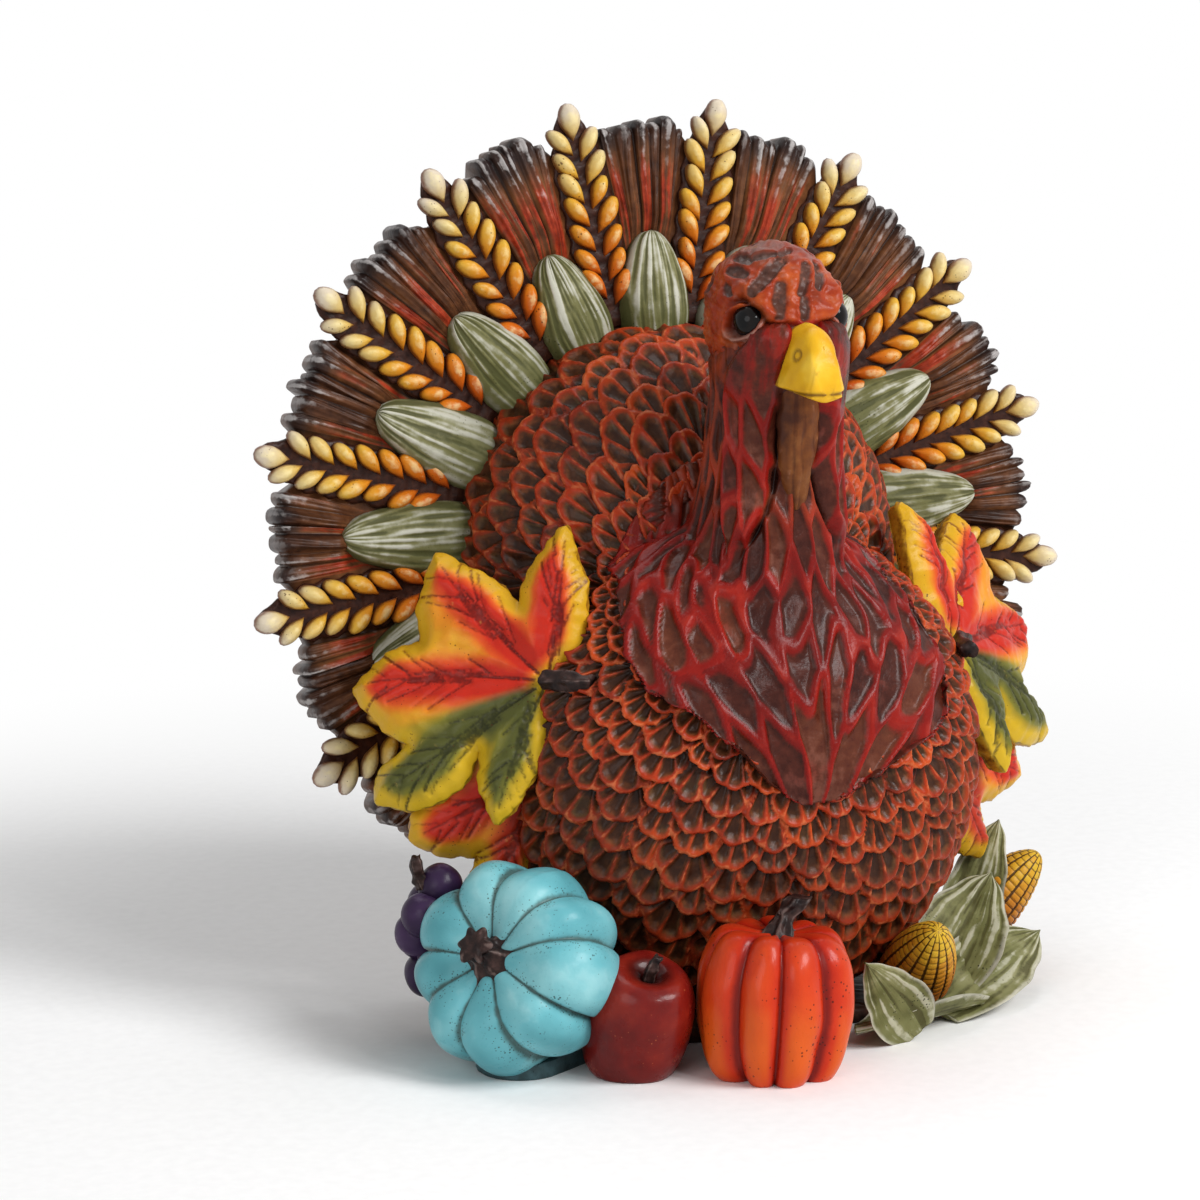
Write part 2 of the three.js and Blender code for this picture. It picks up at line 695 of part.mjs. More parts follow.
// Pumpkin about local Z: ribs pinched in between, dimpled at the stem
function pumpkinShape(radius, ribs, squat, grow) {
  const rows = 8;
  const sides = ribs * 2;
  const rings = [];
  for (let row = 1; row < rows; row++) {
    const tilt = Math.PI * (1 - row / rows);
    const belly = Math.sin(tilt) ** 0.8;
    const dimple = 1 - 0.32 * Math.max(0, Math.cos(tilt)) ** 6;
    rings.push(
      Array.from({ length: sides }, (_, i) => {
        const turn = (i / sides) * 2 * Math.PI;
        const rib = 1 - pumpkinRibDepth * belly * (i % 2 ? 0 : 1);
        const out = radius * belly * rib + grow;
        const rise = (radius * squat + grow) * Math.cos(tilt) * dimple;
        return point(out * Math.cos(turn), out * Math.sin(turn), rise);
      }),
    );
  }
  const top = radius * squat * 0.68 + grow;
  return skin(point(0, 0, -radius * squat - grow), rings, point(0, 0, top));
}

// Apple about local Z: full shoulders, a dimple for the stem
function appleShape(radius, tall, grow) {
  const sides = 14;
  const outline = [
    [0.42, -0.98],
    [0.82, -0.66],
    [1, -0.08],
    [0.95, 0.42],
    [0.66, 0.82],
    [0.3, 0.8],
  ];
  const rings = outline.map(([out, up]) =>
    ellipse(point(0, 0, up * (tall * radius + grow)), out * radius + grow, out * radius + grow, sides),
  );
  return skin(point(0, 0, -0.96 * tall * radius - grow), rings, point(0, 0, 0.66 * tall * radius + grow));
}

// Ear of corn about local Z: rows of grains as flutes, tapering to a round tip
function cornShape(grow) {
  const sides = cornRows * 2;
  const shares = [0.03, 0.3, 0.6, 0.82, 0.95];
  const rings = shares.map((share) => {
    const girth = cornRadius * Math.sqrt(1 - share ** 2.6) * (0.86 + 0.14 * Math.sin(Math.PI * share)) + grow;
    return ellipse(point(0, 0, (share - 0.5) * cornLength), girth, girth, sides, (turn) =>
      Math.round((turn / (2 * Math.PI)) * sides) % 2 ? 0.93 : 1,
    );
  });
  return skin(point(0, 0, -cornLength / 2 - grow), rings, point(0, 0, cornLength / 2 + grow));
}

// Corn husk along local Z: a pointed leaf, cupped towards local Y
function cornHuskShape(length, width, cup, bow, grow) {
  const across = 5;
  const shares = [0, 0.2, 0.45, 0.7, 0.9];
  const half = cornHuskThickness / 2;
  const rings = shares.map((share) => {
    const halfWidth = (width / 2) * Math.sin(Math.PI * (0.16 + 0.8 * share) ** 0.9) + 0.6;
    const bend = bow * Math.sin(Math.PI * share * 0.8);
    const dish = cup * ((2 * halfWidth) / width) ** 2;
    const edge = (i, face) => {
      const t = (2 * i) / (across - 1) - 1;
      const along = lerp(-grow, length + grow, share);
      const atRim = Math.abs(t) === 1;
      const skinAt = atRim ? 0 : face * (half * (1 - 0.4 * t * t) + 1.5 * grow);
      return point(halfWidth * t + (atRim ? t * 3 * grow : 0), bend + dish * t * t + skinAt, along);
    };
    const lower = Array.from({ length: across }, (_, i) => edge(i, -1));
    const upper = Array.from({ length: across - 2 }, (_, i) => edge(across - 2 - i, 1));
    return [...lower, ...upper];
  });
  const bendEnd = bow * Math.sin(Math.PI * 0.8);
  return skin(point(0, 0, -2 * grow), rings, point(0, bendEnd, length + 2 * grow));
}

// Where each fruit stands on the table, and which way its stem points
const harvest = {
  bluePumpkin: { radius: bluePumpkinRadius, tall: bluePumpkinSquat, ribs: bluePumpkinRibs },
  orangePumpkin: { radius: orangePumpkinRadius, tall: orangePumpkinSquat, ribs: orangePumpkinRibs },
  apple: { radius: appleRadius, tall: appleTall },
};
harvest.bluePumpkin.at = point(bluePumpkinX, bluePumpkinBehind - harvestForward, bluePumpkinRise);
harvest.orangePumpkin.at = point(orangePumpkinX, -harvestForward, orangePumpkinRise);
harvest.apple.at = point(appleX, appleBehind - harvestForward, appleRise);
harvest.bluePumpkin.axis = point(-0.764, -0.514, 0.391);
harvest.orangePumpkin.axis = point(0.06, 0.02, 1);
harvest.apple.axis = point(0.02, -0.4, 0.915);
for (const fruit of Object.values(harvest)) {
  fruit.axis.normalize();
  fruit.frame = frameAt(fruit.at, fruit.axis, backward);
}

// Corn ears and their husks, placed about the heap in ear lengths
const inHeap = (x, y, z) => point(x, y, z).multiplyScalar(cornLength).add(point(cornHeapX, cornHeapY, 0));
const cornEars = [
  { tip: inHeap(-0.219, -0.522, 0.695), axis: point(-0.19, -0.85, 0.49).normalize() },
  { tip: inHeap(1.178, 0.638, 0.784), axis: point(0.69, -0.2, 0.69).normalize() },
];
for (const ear of cornEars) {
  ear.centre = ear.tip.clone().addScaledVector(ear.axis, -cornLength / 2);
  ear.frame = frameAt(ear.centre, ear.axis, backward);
}
const cornHusks = [
  { foot: inHeap(0.054, 0, 0.108), tip: inHeap(0.665, 0.392, 0.73), out: point(-0.4, -0.8, 0.5) },
  { foot: inHeap(-0.054, -0.243, 0.081), tip: inHeap(1.027, 0.405, 0.27), out: point(-0.1, -0.7, 0.7) },
  { foot: inHeap(0.54, 0.649, 0.135), tip: inHeap(0.946, 0.784, 1), out: point(-0.5, -0.8, 0.2) },
  { foot: inHeap(0.162, -0.27, 0.135), tip: inHeap(-0.784, -0.595, 0.568), out: point(0.3, -0.4, 0.87) },
  { foot: inHeap(0.216, -0.216, 0.081), tip: inHeap(-0.838, -0.595, 0.135), out: point(0.1, 0.3, 0.95) },
];
const huskForms = [
  { width: 0.57, cup: 0.08, bow: 0.08 },
  { width: 0.51, cup: 0.08, bow: 0.08 },
  { width: 0.38, cup: 0.06, bow: 0.06 },
  { width: 0.46, cup: 0.08, bow: -0.12 },
  { width: 0.49, cup: 0.09, bow: 0 },
];
for (const [i, husk] of cornHusks.entries()) {
  const { width, cup, bow } = huskForms[i];
  const along = husk.tip.clone().sub(husk.foot);
  const frame = frameAt(husk.foot, along, husk.out);
  const form = [along.length(), width * cornLength, cup * cornLength, bow * cornLength];
  Object.assign(husk, { form, frame });
}

// Grapes of the bunch, from the top one, in grape radii
const grapeCrown = harvest.bluePumpkin.at.clone().add(point(-grapesAside, grapesBehind, 0));
grapeCrown.setZ(grapesHeight);
const grapeHang = [
  [0, 0, 0],
  [-0.96, -0.38, -1.17],
  [-0.98, 0.38, -2.19],
  [0, 1.35, -1.15],
  [-0.38, 1.6, -2.7],
  [0.2, 0.67, -3.37],
  [-0.2, 1.35, -4.4],
];

// Leaf frames: the stem joint lies on the body's side, the face looks out, forward and a little up
const leafSpots = {
  upper: { reach: point(0.94, -0.32, 0.09), face: point(0.635, -0.683, 0.362), sink: 3.7, roll: 0 },
  lower: { reach: point(0.9, -0.3, -0.25), face: point(0.42, -0.9, 0.05), sink: 15.1, roll: degrees(-24) },
};

function leafFrame(spot, side) {
  const reach = spot.reach.clone().normalize();
  const joint = bodyPoint(reach.multiply(point(side, 1, 1)), leafThickness - spot.sink);
  const face = spot.face.clone().multiply(point(side, 1, 1));
  const frame = frameAt(joint, face, upward);
  return frame.multiply(new THREE.Matrix4().makeRotationZ(side * spot.roll));
}

// Pieces: name, paint, local frame, the solid in that frame (grown by a margin), and what cuts it
const pieces = new Map();
const groups = { tail: new THREE.Group(), bird: new THREE.Group(), harvest: new THREE.Group() };

function piece(name, group, material, frame, make, cutters = []) {
  pieces.set(name, { group, material, frame, make, cutters });
}

const placed = (entry, grow) => entry.make(grow).transform(entry.frame.toArray());
const still = new THREE.Matrix4();

function plinthSolid(grow) {
  const slab = (radiusX, radiusY, x, y) => {
    const outline = new THREE.Shape().absellipse(x, y, radiusX + grow, radiusY + grow, 0, 2 * Math.PI);
    const depth = plinthThickness + grow;
    return solidOf(new THREE.ExtrudeGeometry(outline, { depth, bevelEnabled: false, curveSegments: 8 }));
  };
  let plinth = slab(plinthHalfWidth, plinthHalfDepth, 0, plinthCentreY);
  for (const { at, radius } of Object.values(harvest)) {
    const { x, y } = at;
    const halfWidth = radius * footShare + grow;
    const reach = Math.hypot(x, y - plinthCentreY);
    const tongue = new THREE.BoxGeometry(reach, 2 * halfWidth, plinthThickness + grow)
      .translate(reach / 2, 0, (plinthThickness + grow) / 2)
      .rotateZ(Math.atan2(y - plinthCentreY, x))
      .translate(0, plinthCentreY, 0);
    plinth = plinth.add(solidOf(tongue)).add(slab(halfWidth - grow, halfWidth - grow, x, y));
  }
  return plinth;
}

piece("plinth", "bird", paint.plinth, still, plinthSolid);
piece("tail_fan", "tail", paint.tail, tailFrame, (grow) => solidOf(fanShape(grow)));
piece("body", "bird", paint.body, still, (grow) => solidOf(bodyShape(grow)));
piece("bib_and_neck", "bird", paint.bib, still, (grow) => solidOf(bibShape(grow)), ["body"]);
const headFrame = new THREE.Matrix4().makeTranslation(headCentre);
piece("head", "bird", paint.head, headFrame, (grow) => solidOf(headShape(grow)), ["bib_and_neck"]);
const beakRoot = headCentre.clone().add(point(0, 1 - headHalfLength, -beakDrop));
const beakFrame = frameAt(beakRoot, point(0, -1, 0), upward);
piece("beak", "bird", paint.beak, beakFrame, (grow) => solidOf(beakShape(grow)), ["head", "bib_and_neck"]);
const wattleRoot = headCentre.clone().add(point(0, wattleSink - headHalfLength, -wattleDrop));
const wattleFrame = frameAt(wattleRoot, point(0, 0.03, -1), backward);
const wattleCutters = ["beak", "head", "bib_and_neck"];
piece("wattle", "bird", paint.bib, wattleFrame, (grow) => solidOf(wattleShape(grow)), wattleCutters);
for (const [label, side] of [["left", -1], ["right", 1]]) {
  const cheek = headHalfWidth * Math.sqrt(1 - (eyeForward / headHalfLength) ** 2);
  const seat = headCentre.clone().add(point(side * (cheek + eyeProud - eyeRadius), -eyeForward, eyeRise));
  const frame = new THREE.Matrix4().makeTranslation(seat);
  const ball = (grow) => solidOf(ballShape(eyeRadius + grow, 10, 5));
  piece(`eye_${label}`, "bird", paint.eye, frame, ball, ["head"]);
}

const huskNames = [];
for (let i = -huskFeathersPerSide; i <= huskFeathersPerSide; i++) {
  const name = `husk_feather_${i + huskFeathersPerSide + 1}`;
  const angle = i * featherPitch;
  huskNames.push(name);
  const make = (grow) => solidOf(huskFeatherShape(angle, grow));
  piece(name, "tail", paint.husk, onTail(angle), make, ["body"]);
}
const earNames = [];
for (let i = -feathersPerSide; i < feathersPerSide; i++) {
  const angle = (i + 0.5) * featherPitch;
  const beside = [i, i + 1].map((step) => huskNames[step + huskFeathersPerSide]).filter(Boolean);
  const name = `wheat_ear_${i + feathersPerSide + 1}`;
  piece(name, "tail", paint.wheat, onTail(angle), (grow) => solidOf(grow ? earRoom(grow) : earShape()), [
    "body",
    ...beside,
  ]);
  earNames.push(name);
}

for (const [name, label] of [["blue_pumpkin", "bluePumpkin"], ["orange_pumpkin", "orangePumpkin"]]) {
  const fruit = harvest[label];
  const colour = label === "bluePumpkin" ? paint.bluePumpkin : paint.orangePumpkin;
  const make = (grow) => solidOf(pumpkinShape(fruit.radius, fruit.ribs, fruit.tall, grow));
  piece(name, "harvest", colour, fruit.frame, make, ["body", "plinth"]);
  const stemFrame = fruit.frame.clone().multiply(
    new THREE.Matrix4().makeTranslation(0, 0, fruit.radius * fruit.tall * 0.6),
  );
  const twig = () => solidOf(twigShape(fruit.radius * stalkLength, fruit.radius * stalkRadius));
  piece(`${name}_stem`, "harvest", paint.stem, stemFrame, twig, [name, "body"]);
}
const apple = harvest.apple;
const appleMaker = (grow) => solidOf(appleShape(apple.radius, apple.tall, grow));
const fruitsBeside = ["body", "plinth", "blue_pumpkin", "orange_pumpkin"];
piece("apple", "harvest", paint.apple, apple.frame, appleMaker, fruitsBeside);
const appleStemFrame = apple.frame.clone().multiply(
  new THREE.Matrix4().makeTranslation(0, 0, apple.radius * apple.tall * 0.6),
);
const appleTwig = () => solidOf(twigShape(appleStemLength, appleStemRadius));
piece("apple_stem", "harvest", paint.stem, appleStemFrame, appleTwig, ["apple", "body"]);

const cornNames = cornEars.map((ear, i) => {
  const name = `corn_ear_${i + 1}`;
  const beside = ["body", "plinth", "orange_pumpkin", ...(i ? ["corn_ear_1"] : [])];
  piece(name, "harvest", paint.corn, ear.frame, (grow) => solidOf(cornShape(grow)), beside);
  return name;
});
const cornHuskNames = [];
for (const [i, husk] of cornHusks.entries()) {
  const name = `corn_husk_${i + 1}`;
  const make = (grow) => solidOf(cornHuskShape(...husk.form, grow));
  const beside = ["body", "plinth", "orange_pumpkin", ...cornNames, ...cornHuskNames];
  piece(name, "harvest", paint.husk, husk.frame, make, beside);
  cornHuskNames.push(name);
}

for (const [label, side] of [["left", -1], ["right", 1]]) {
  const nearby = ["tail_fan", "body", "bib_and_neck", "blue_pumpkin", ...cornNames, ...cornHuskNames];
  for (const level of ["upper", "lower"]) {
    const name = `${label}_${level}_leaf`;
    const size = level === "upper" ? upperLeafSize : lowerLeafSize;
    const frame = leafFrame(leafSpots[level], side);
    const make = () => {
      const flat = leafShape(size);
      return solidOf(side < 0 ? flat : flat.rotateY(Math.PI).translate(0, 0, -leafThickness));
    };
    const above = level === "lower" ? [`${label}_upper_leaf`] : [];
    piece(name, "bird", paint.leaf, frame, make, [...nearby, ...huskNames, ...earNames, ...above]);
  }
  const joint = point(0, 0, 0).applyMatrix4(leafFrame(leafSpots.upper, side));
  const stemAway = point(-side, -0.12, 0.06);
  const stemFrame = frameAt(joint.addScaledVector(stemAway, glueGap), stemAway, upward);
  const stem = () => solidOf(twigShape(leafStemLength, leafStemRadius));
  const stemCutters = ["body", "bib_and_neck", `${label}_upper_leaf`];
  piece(`${label}_leaf_stem`, "bird", paint.stem, stemFrame, stem, stemCutters);
}

function grapeSolid(grow) {
  let bunch = null;
  for (const [x, y, z] of grapeHang) {
    const hang = point(x, y, z).multiplyScalar(grapeRadius);
    const ball = ballShape(grapeRadius + grow, 8, 4).rotateX(Math.PI / 2);
    const grape = solidOf(ball.translate(hang.x, hang.y, hang.z));
    bunch = bunch ? bunch.add(grape) : grape;
  }
  return bunch;
}
const grapeFrame = new THREE.Matrix4().makeTranslation(grapeCrown);
const besideGrapes = ["body", "plinth", "tail_fan", "blue_pumpkin", "left_lower_leaf", "left_upper_leaf"];
piece("grape_bunch", "harvest", paint.grape, grapeFrame, grapeSolid, besideGrapes);
const grapeStemFoot = grapeCrown.clone().addScaledVector(point(-0.8, 0, 0.1), grapeRadius);
const grapeStemFrame = frameAt(grapeStemFoot, point(-0.5, 0, 0.85), backward);
const grapeTwig = () => solidOf(twigShape(grapeStemLength, grapeStemRadius));
const grapeStemCutters = ["grape_bunch", "left_lower_leaf", "left_upper_leaf"];
piece("grape_stem", "harvest", paint.stem, grapeStemFrame, grapeTwig, grapeStemCutters);

// Everything stands on the table: a slab below it trims what hangs lower
const tableSpan = 600;
const table = solidOf(new THREE.BoxGeometry(tableSpan, tableSpan, tableSpan).translate(0, 0, -tableSpan / 2));

// Cut each piece by its neighbours with the glue line between, and keep its largest body
const finished = new Map();
const grownCache = new Map();

function grown(name) {
  if (!grownCache.has(name)) grownCache.set(name, placed(pieces.get(name), glueGap));
  return grownCache.get(name);
}

for (const [name, entry] of pieces) {
  let solid = placed(entry, 0).subtract(table);
  for (const cutter of entry.cutters) solid = solid.subtract(grown(cutter));
  const [main] = solid.decompose().sort((a, b) => b.volume() - a.volume());
  finished.set(name, main);
}

// Pieces that are set into a seat: the seat is opened in the piece that carries them
for (const label of ["left", "right"]) {
  const socket = grown(`eye_${label}`);
  finished.set("head", finished.get("head").subtract(socket));
  finished.set(`eye_${label}`, placed(pieces.get(`eye_${label}`), 0));
}

const figure = new THREE.Group();
for (const group of Object.values(groups)) figure.add(group);
for (const [name, entry] of pieces) {
  const back = entry.frame.clone().invert();
  const mesh = new THREE.Mesh(geometryOf(finished.get(name).transform(back.toArray())), entry.material);
  mesh.name = name;
  mesh.applyMatrix4(entry.frame);
  groups[entry.group].add(mesh);
}

// The origin is the middle of the footprint, on the table
const box = new THREE.Box3().setFromObject(figure, true);
const middle = box.getCenter(point(0, 0, 0));
figure.position.set(-middle.x, -middle.y, -box.min.z);

const turkey = new THREE.Group();
turkey.add(figure);

export default turkey;
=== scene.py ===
import math

import bpy
import numpy as np
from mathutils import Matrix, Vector, geometry


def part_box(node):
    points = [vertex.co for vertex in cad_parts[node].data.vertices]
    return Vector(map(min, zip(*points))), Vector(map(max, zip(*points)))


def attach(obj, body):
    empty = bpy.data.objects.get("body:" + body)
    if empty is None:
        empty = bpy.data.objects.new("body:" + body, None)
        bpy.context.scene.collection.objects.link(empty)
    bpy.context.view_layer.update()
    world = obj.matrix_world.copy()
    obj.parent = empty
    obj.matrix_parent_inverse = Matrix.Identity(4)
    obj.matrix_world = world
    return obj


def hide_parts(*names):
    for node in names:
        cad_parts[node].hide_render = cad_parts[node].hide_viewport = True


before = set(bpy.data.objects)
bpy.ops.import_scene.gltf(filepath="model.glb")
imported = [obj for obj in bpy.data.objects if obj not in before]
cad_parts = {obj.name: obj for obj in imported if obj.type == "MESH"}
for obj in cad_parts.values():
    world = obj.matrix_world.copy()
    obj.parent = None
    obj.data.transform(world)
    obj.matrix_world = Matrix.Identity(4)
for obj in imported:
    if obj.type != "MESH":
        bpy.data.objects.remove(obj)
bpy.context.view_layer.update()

# Lengths below are millimetres in the figure's own frame: x to the viewer's right, y backwards, z up from
# the table, with the fan's centre over x = 0, y = 0. toRow moves them into the row frame in metres.
mm = 0.001
plinthBack = 10.0
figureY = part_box("plinth")[1].y / mm - plinthBack


def toRow(points):
    return (np.asarray(points, float) + (0, figureY, 0)) * mm


def smooth(value, low, high):
    t = np.clip((np.asarray(value, float) - low) / (high - low), 0, 1)
    return t * t * (3 - 2 * t)


def mix(a, b, share):
    return a + (b - a) * share


def around(sides):  # evenly spaced turns of a full circle
    return np.arange(sides) / sides * 2 * math.pi


def bump(distance, width):  # 1 on a line, fading to both sides
    return np.exp(-((distance / width) ** 2))


def unit(v):
    v = np.asarray(v, float)
    return v / np.linalg.norm(v, axis=-1, keepdims=True)


def lumps(points, size, seed):  # soft unevenness of a hand-made casting, about -1 to 1
    dice = np.random.default_rng(seed)
    total = np.zeros(points.shape[:-1])
    for _ in range(7):
        way = unit(dice.normal(size=3)) * 2 * math.pi / size * dice.uniform(0.6, 1.5)
        total += np.sin(points @ way + dice.uniform(0, 6.3))
    return total / 2.6


# Shells: points, faces and the numbers the paints read (relief, along, tone, edge)
paintMaps = ("relief", "along", "tone", "edge")


def shell(points, faces, **maps):
    count = len(points)
    full = {m: np.broadcast_to(np.asarray(maps.get(m, 0.0), float), (count,)) for m in paintMaps}
    return {"points": np.asarray(points, float), "faces": faces, **full}


def loft(x, y, z):  # points from columns that run along a form and rows that run around it
    return np.stack(np.broadcast_arrays(x, y, z), -1)


def ball(tilt, turn):
    return loft(np.sin(tilt) * np.cos(turn), np.sin(tilt) * np.sin(turn), np.cos(tilt))


def spun(points, angle):  # clockwise about z
    cos, sin = math.cos(angle), math.sin(angle)
    x, y, z = np.moveaxis(points, -1, 0)
    return np.stack([x * cos + y * sin, -x * sin + y * cos, z], -1)


def raised(one, lift):
    return {**one, "points": one["points"] + (0, 0, lift)}


def outermost(inside, low, high, rounds):  # halves the span between inside and outside
    for _ in range(rounds):
        middle = (low + high) / 2
        within = inside(middle)
        low, high = np.where(within, middle, low), np.where(within, high, middle)
    return low, high


def skin(rings, start, end, **maps):  # closed surface through rings that turn anticlockwise as they advance
    rings = np.asarray(rings, float)
    count, sides = rings.shape[:2]
    points = np.concatenate([rings.reshape(-1, 3), [start, end]])
    i = np.arange(count - 1)[:, None] * sides
    j = np.arange(sides)[None, :]
    k = (j + 1) % sides
    quads = np.stack([i + j, i + k, i + sides + k, i + sides + j], -1).reshape(-1, 4)
    last = (count - 1) * sides
    first = count * sides
    low = np.stack([np.full(sides, first), k[0], j[0]], -1)
    high = np.stack([np.full(sides, first + 1), last + j[0], last + k[0]], -1)
    full = {m: np.broadcast_to(v, (count, sides)) for m, v in maps.items()}
    ends = {m: np.concatenate([v.reshape(-1), [v[0].mean(), v[-1].mean()]]) for m, v in full.items()}
    return shell(points, quads.tolist() + low.tolist() + high.tolist(), **ends)


def joined(shells):
    faces, offset = [], 0
    for one in shells:
        faces += [[i + offset for i in face] for face in one["faces"]]
        offset += len(one["points"])
    return {
        "points": np.concatenate([s["points"] for s in shells]),
        "faces": faces,
        **{m: np.concatenate([s[m] for s in shells]) for m in paintMaps},
    }


def moved(one, frameOf):  # local points to figure points
    return {**one, "points": frameOf(one["points"])}


def axesAt(origin, zAxis, yHint):  # a local frame from where its z points and roughly where its y points
    z = unit(zAxis)
    x = unit(np.cross(yHint, z))
    y = np.cross(z, x)
    basis = np.stack([x, y, z])
    return lambda points: np.asarray(points) @ basis + np.asarray(origin, float)


def addObject(name, data):
    made = bpy.data.objects.new(name, data)
    bpy.context.scene.collection.objects.link(made)
    return made


def makePiece(name, one, paint, slotName, *nodes):
    mesh = bpy.data.meshes.new(name)
    mesh.from_pydata(toRow(one["points"]).tolist(), [], one["faces"])
    mesh.polygons.foreach_set("use_smooth", np.ones(len(mesh.polygons), bool))
    for paintMap in paintMaps:
        layer = mesh.attributes.new(paintMap, "FLOAT", "POINT")
        layer.data.foreach_set("value", one[paintMap].astype(np.float32))
    mesh.materials.append(paint)
    mesh.validate()
    mesh.update()
    piece = addObject(name, mesh)
    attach(piece, "root")
    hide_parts(*nodes)
    return piece


# Paints
class Mask:  # a shader value that takes part in sums
    def __init__(self, book, socket):
        self.book = book
        self.socket = socket

    def sum(self, operation, other, swap=False):
        pair = (other, self) if swap else (self, other)
        return self.book.node("ShaderNodeMath", {"operation": operation}, {0: pair[0], 1: pair[1]})

    def __add__(self, other):
        return self.sum("ADD", other)

    __radd__ = __add__

    def __sub__(self, other):
        return self.sum("SUBTRACT", other)

    def __rsub__(self, other):
        return self.sum("SUBTRACT", other, True)

    def __mul__(self, other):
        return self.sum("MULTIPLY", other)

    __rmul__ = __mul__

    def __truediv__(self, other):
        return self.sum("DIVIDE", other)

    def __rtruediv__(self, other):
        return self.sum("DIVIDE", other, True)

    def __pow__(self, other):
        return self.sum("POWER", other)


class PaintBook:  # one material and the nodes that make it
    def __init__(self, name, owner=None):
        self.material = owner or bpy.data.materials.new(name)
        self.material.use_nodes = True
        self.tree = self.material.node_tree
        self.tree.nodes.clear()

    def node(self, kind, settings=None, sockets=None, out=0):
        made = self.tree.nodes.new(kind)
        for key, value in (settings or {}).items():
            if key == "stops":
                ramp = made.color_ramp
                while len(ramp.elements) < len(value):
                    ramp.elements.new(0.5)
                for element, (place, colour) in zip(ramp.elements, value):
                    element.position = place
                    element.color = colour
            else:
                setattr(made, key, value)
        for key, value in (sockets or {}).items():
            if isinstance(value, Mask):
                self.tree.links.new(value.socket, made.inputs[key])
            else:
                made.inputs[key].default_value = value
        return Mask(self, made.outputs[out]) if made.outputs else None

    def map(self, name):
        return self.node("ShaderNodeAttribute", {"attribute_name": name}, out="Fac")

    def maps(self, *names):
        return [self.map(name) for name in names]

    def place(self):
        return self.node("ShaderNodeTexCoord", out="Object")

    def noise(self, scale, detail=3.0, rough=0.55, warp=0.0):
        values = {"Vector": self.place(), "Scale": scale, "Detail": detail, "Roughness": rough, "Distortion": warp}
        return self.node("ShaderNodeTexNoise", {}, values, "Fac")

    def step(self, value, low, high):  # 0 below low, 1 above high, eased between
        ends = {"Value": value, "From Min": low, "From Max": high, "To Min": 0.0, "To Max": 1.0}
        return self.node("ShaderNodeMapRange", {"interpolation_type": "SMOOTHSTEP"}, ends)

    def ramp(self, value, *stops):
        return self.node("ShaderNodeValToRGB", {"stops": [(place, ink(c)) for place, c in stops]}, {0: value})

    def blend(self, share, under, over):
        both = {0: share, 6: under if isinstance(under, Mask) else ink(under)}
        both[7] = over if isinstance(over, Mask) else ink(over)
        return self.node("ShaderNodeMix", {"data_type": "RGBA"}, both, 2)

    def specks(self, scale, share):  # scattered fine spots, share is how much of the surface they take
        spots = self.node("ShaderNodeTexVoronoi", {}, {"Vector": self.place(), "Scale": scale}, "Distance")
        patchy = self.noise(scale * 0.16, 2.0)
        return self.step(patchy * 0.75 - spots, 0.30 - share, 0.36 - share)

    def seen(self):  # 1 where the camera, a reflection or a clear piece looks straight at it
        rays = [self.node("ShaderNodeLightPath", out=f"Is {kind} Ray") for kind in ("Camera", "Glossy", "Transmission")]
        return self.step(rays[0] + rays[1] + rays[2], 0.0, 1.0)

    def done(self, colour, rough, grain, coat=(0.0, 0.03)):  # coat is its weight and roughness
        relief = {"Height": grain, "Strength": 0.5, "Distance": 0.0004}
        sockets = {
            "Base Color": colour,
            "Roughness": rough,
            "Specular IOR Level": 0.12,
            "Coat Weight": coat[0],
            "Coat Roughness": coat[1],
            "Normal": self.node("ShaderNodeBump", {}, relief),
        }
        shader = self.node("ShaderNodeBsdfPrincipled", {}, sockets)
        self.node("ShaderNodeOutputMaterial", {}, {"Surface": shader})
        return self.material


def ink(colour):  # a paint's hex colour as the shader takes it
    if not isinstance(colour, str):
        return colour
    parts = [int(colour[i : i + 2], 16) / 255 for i in (0, 2, 4)]
    return [p / 12.92 if p <= 0.04045 else ((p + 0.055) / 1.055) ** 2.4 for p in parts] + [1.0]


# Bird's body: a back dome and a breast, blended, with rows of scalloped feathers round the chest axis
body = {
    "domeCentre": (0, -2, 104),
    "domeRadii": (56, 48.5, 56),
    "breastCentre": (0, -45, 63),
    "breastRadii": (58.5, 39.5, 55),
    "skirtCentre": (0, -42, 50),
    "skirtRadii": (55, 36.5, 50),
    "core": (0, -34, 82),
    "blend": 12,
    "chestAxis": (0, -0.78, 0.62),
    "girth": 60,  # mean distance of the feathers from the core
    "firstRow": math.radians(20),
    "rowStep": 5.9,
    "spacing": 9.4,
    "radius": 6.8,
    "lift": 3.2,
    "dent": 1.9,
    "rings": 330,
    "columns": 740,
}
tail = {
    "centreHeight": 108,
    "lean": math.radians(9),
    "thickness": 9,
    "pitch": math.radians(21.5),
    "perSide": 6,
    "valleyHalf": 7.6,
    "reachTop": 105.5,
    "reachSide": 101,
    "valleyReach": 97,
    "lowerReach": 84,
    "footHalfWidth": 34,
    "floor": 4.3,
    "strands": 6,
    "columnsPerBundle": 80,
    "columnsPerValley": 5,
    "relief": 5.6,
    "ragged": 3.2,
    "backRelief": 2.5,
}
glueGap = 0.3
fanNormal = np.array([0, -math.cos(tail["lean"]), math.sin(tail["lean"])])
fanCentre = np.array([0, 0, tail["centreHeight"]])


def wayOut(origin, ways, centre, radii):
    start = (np.asarray(origin) - centre) / radii
    along = ways / np.asarray(radii, float)
    a = (along * along).sum(-1)
    b = along @ start
    inside = b * b + a * (1 - start @ start)
    return np.where(inside > 0, np.maximum((-b + np.sqrt(np.maximum(inside, 0))) / a, 0), 0)


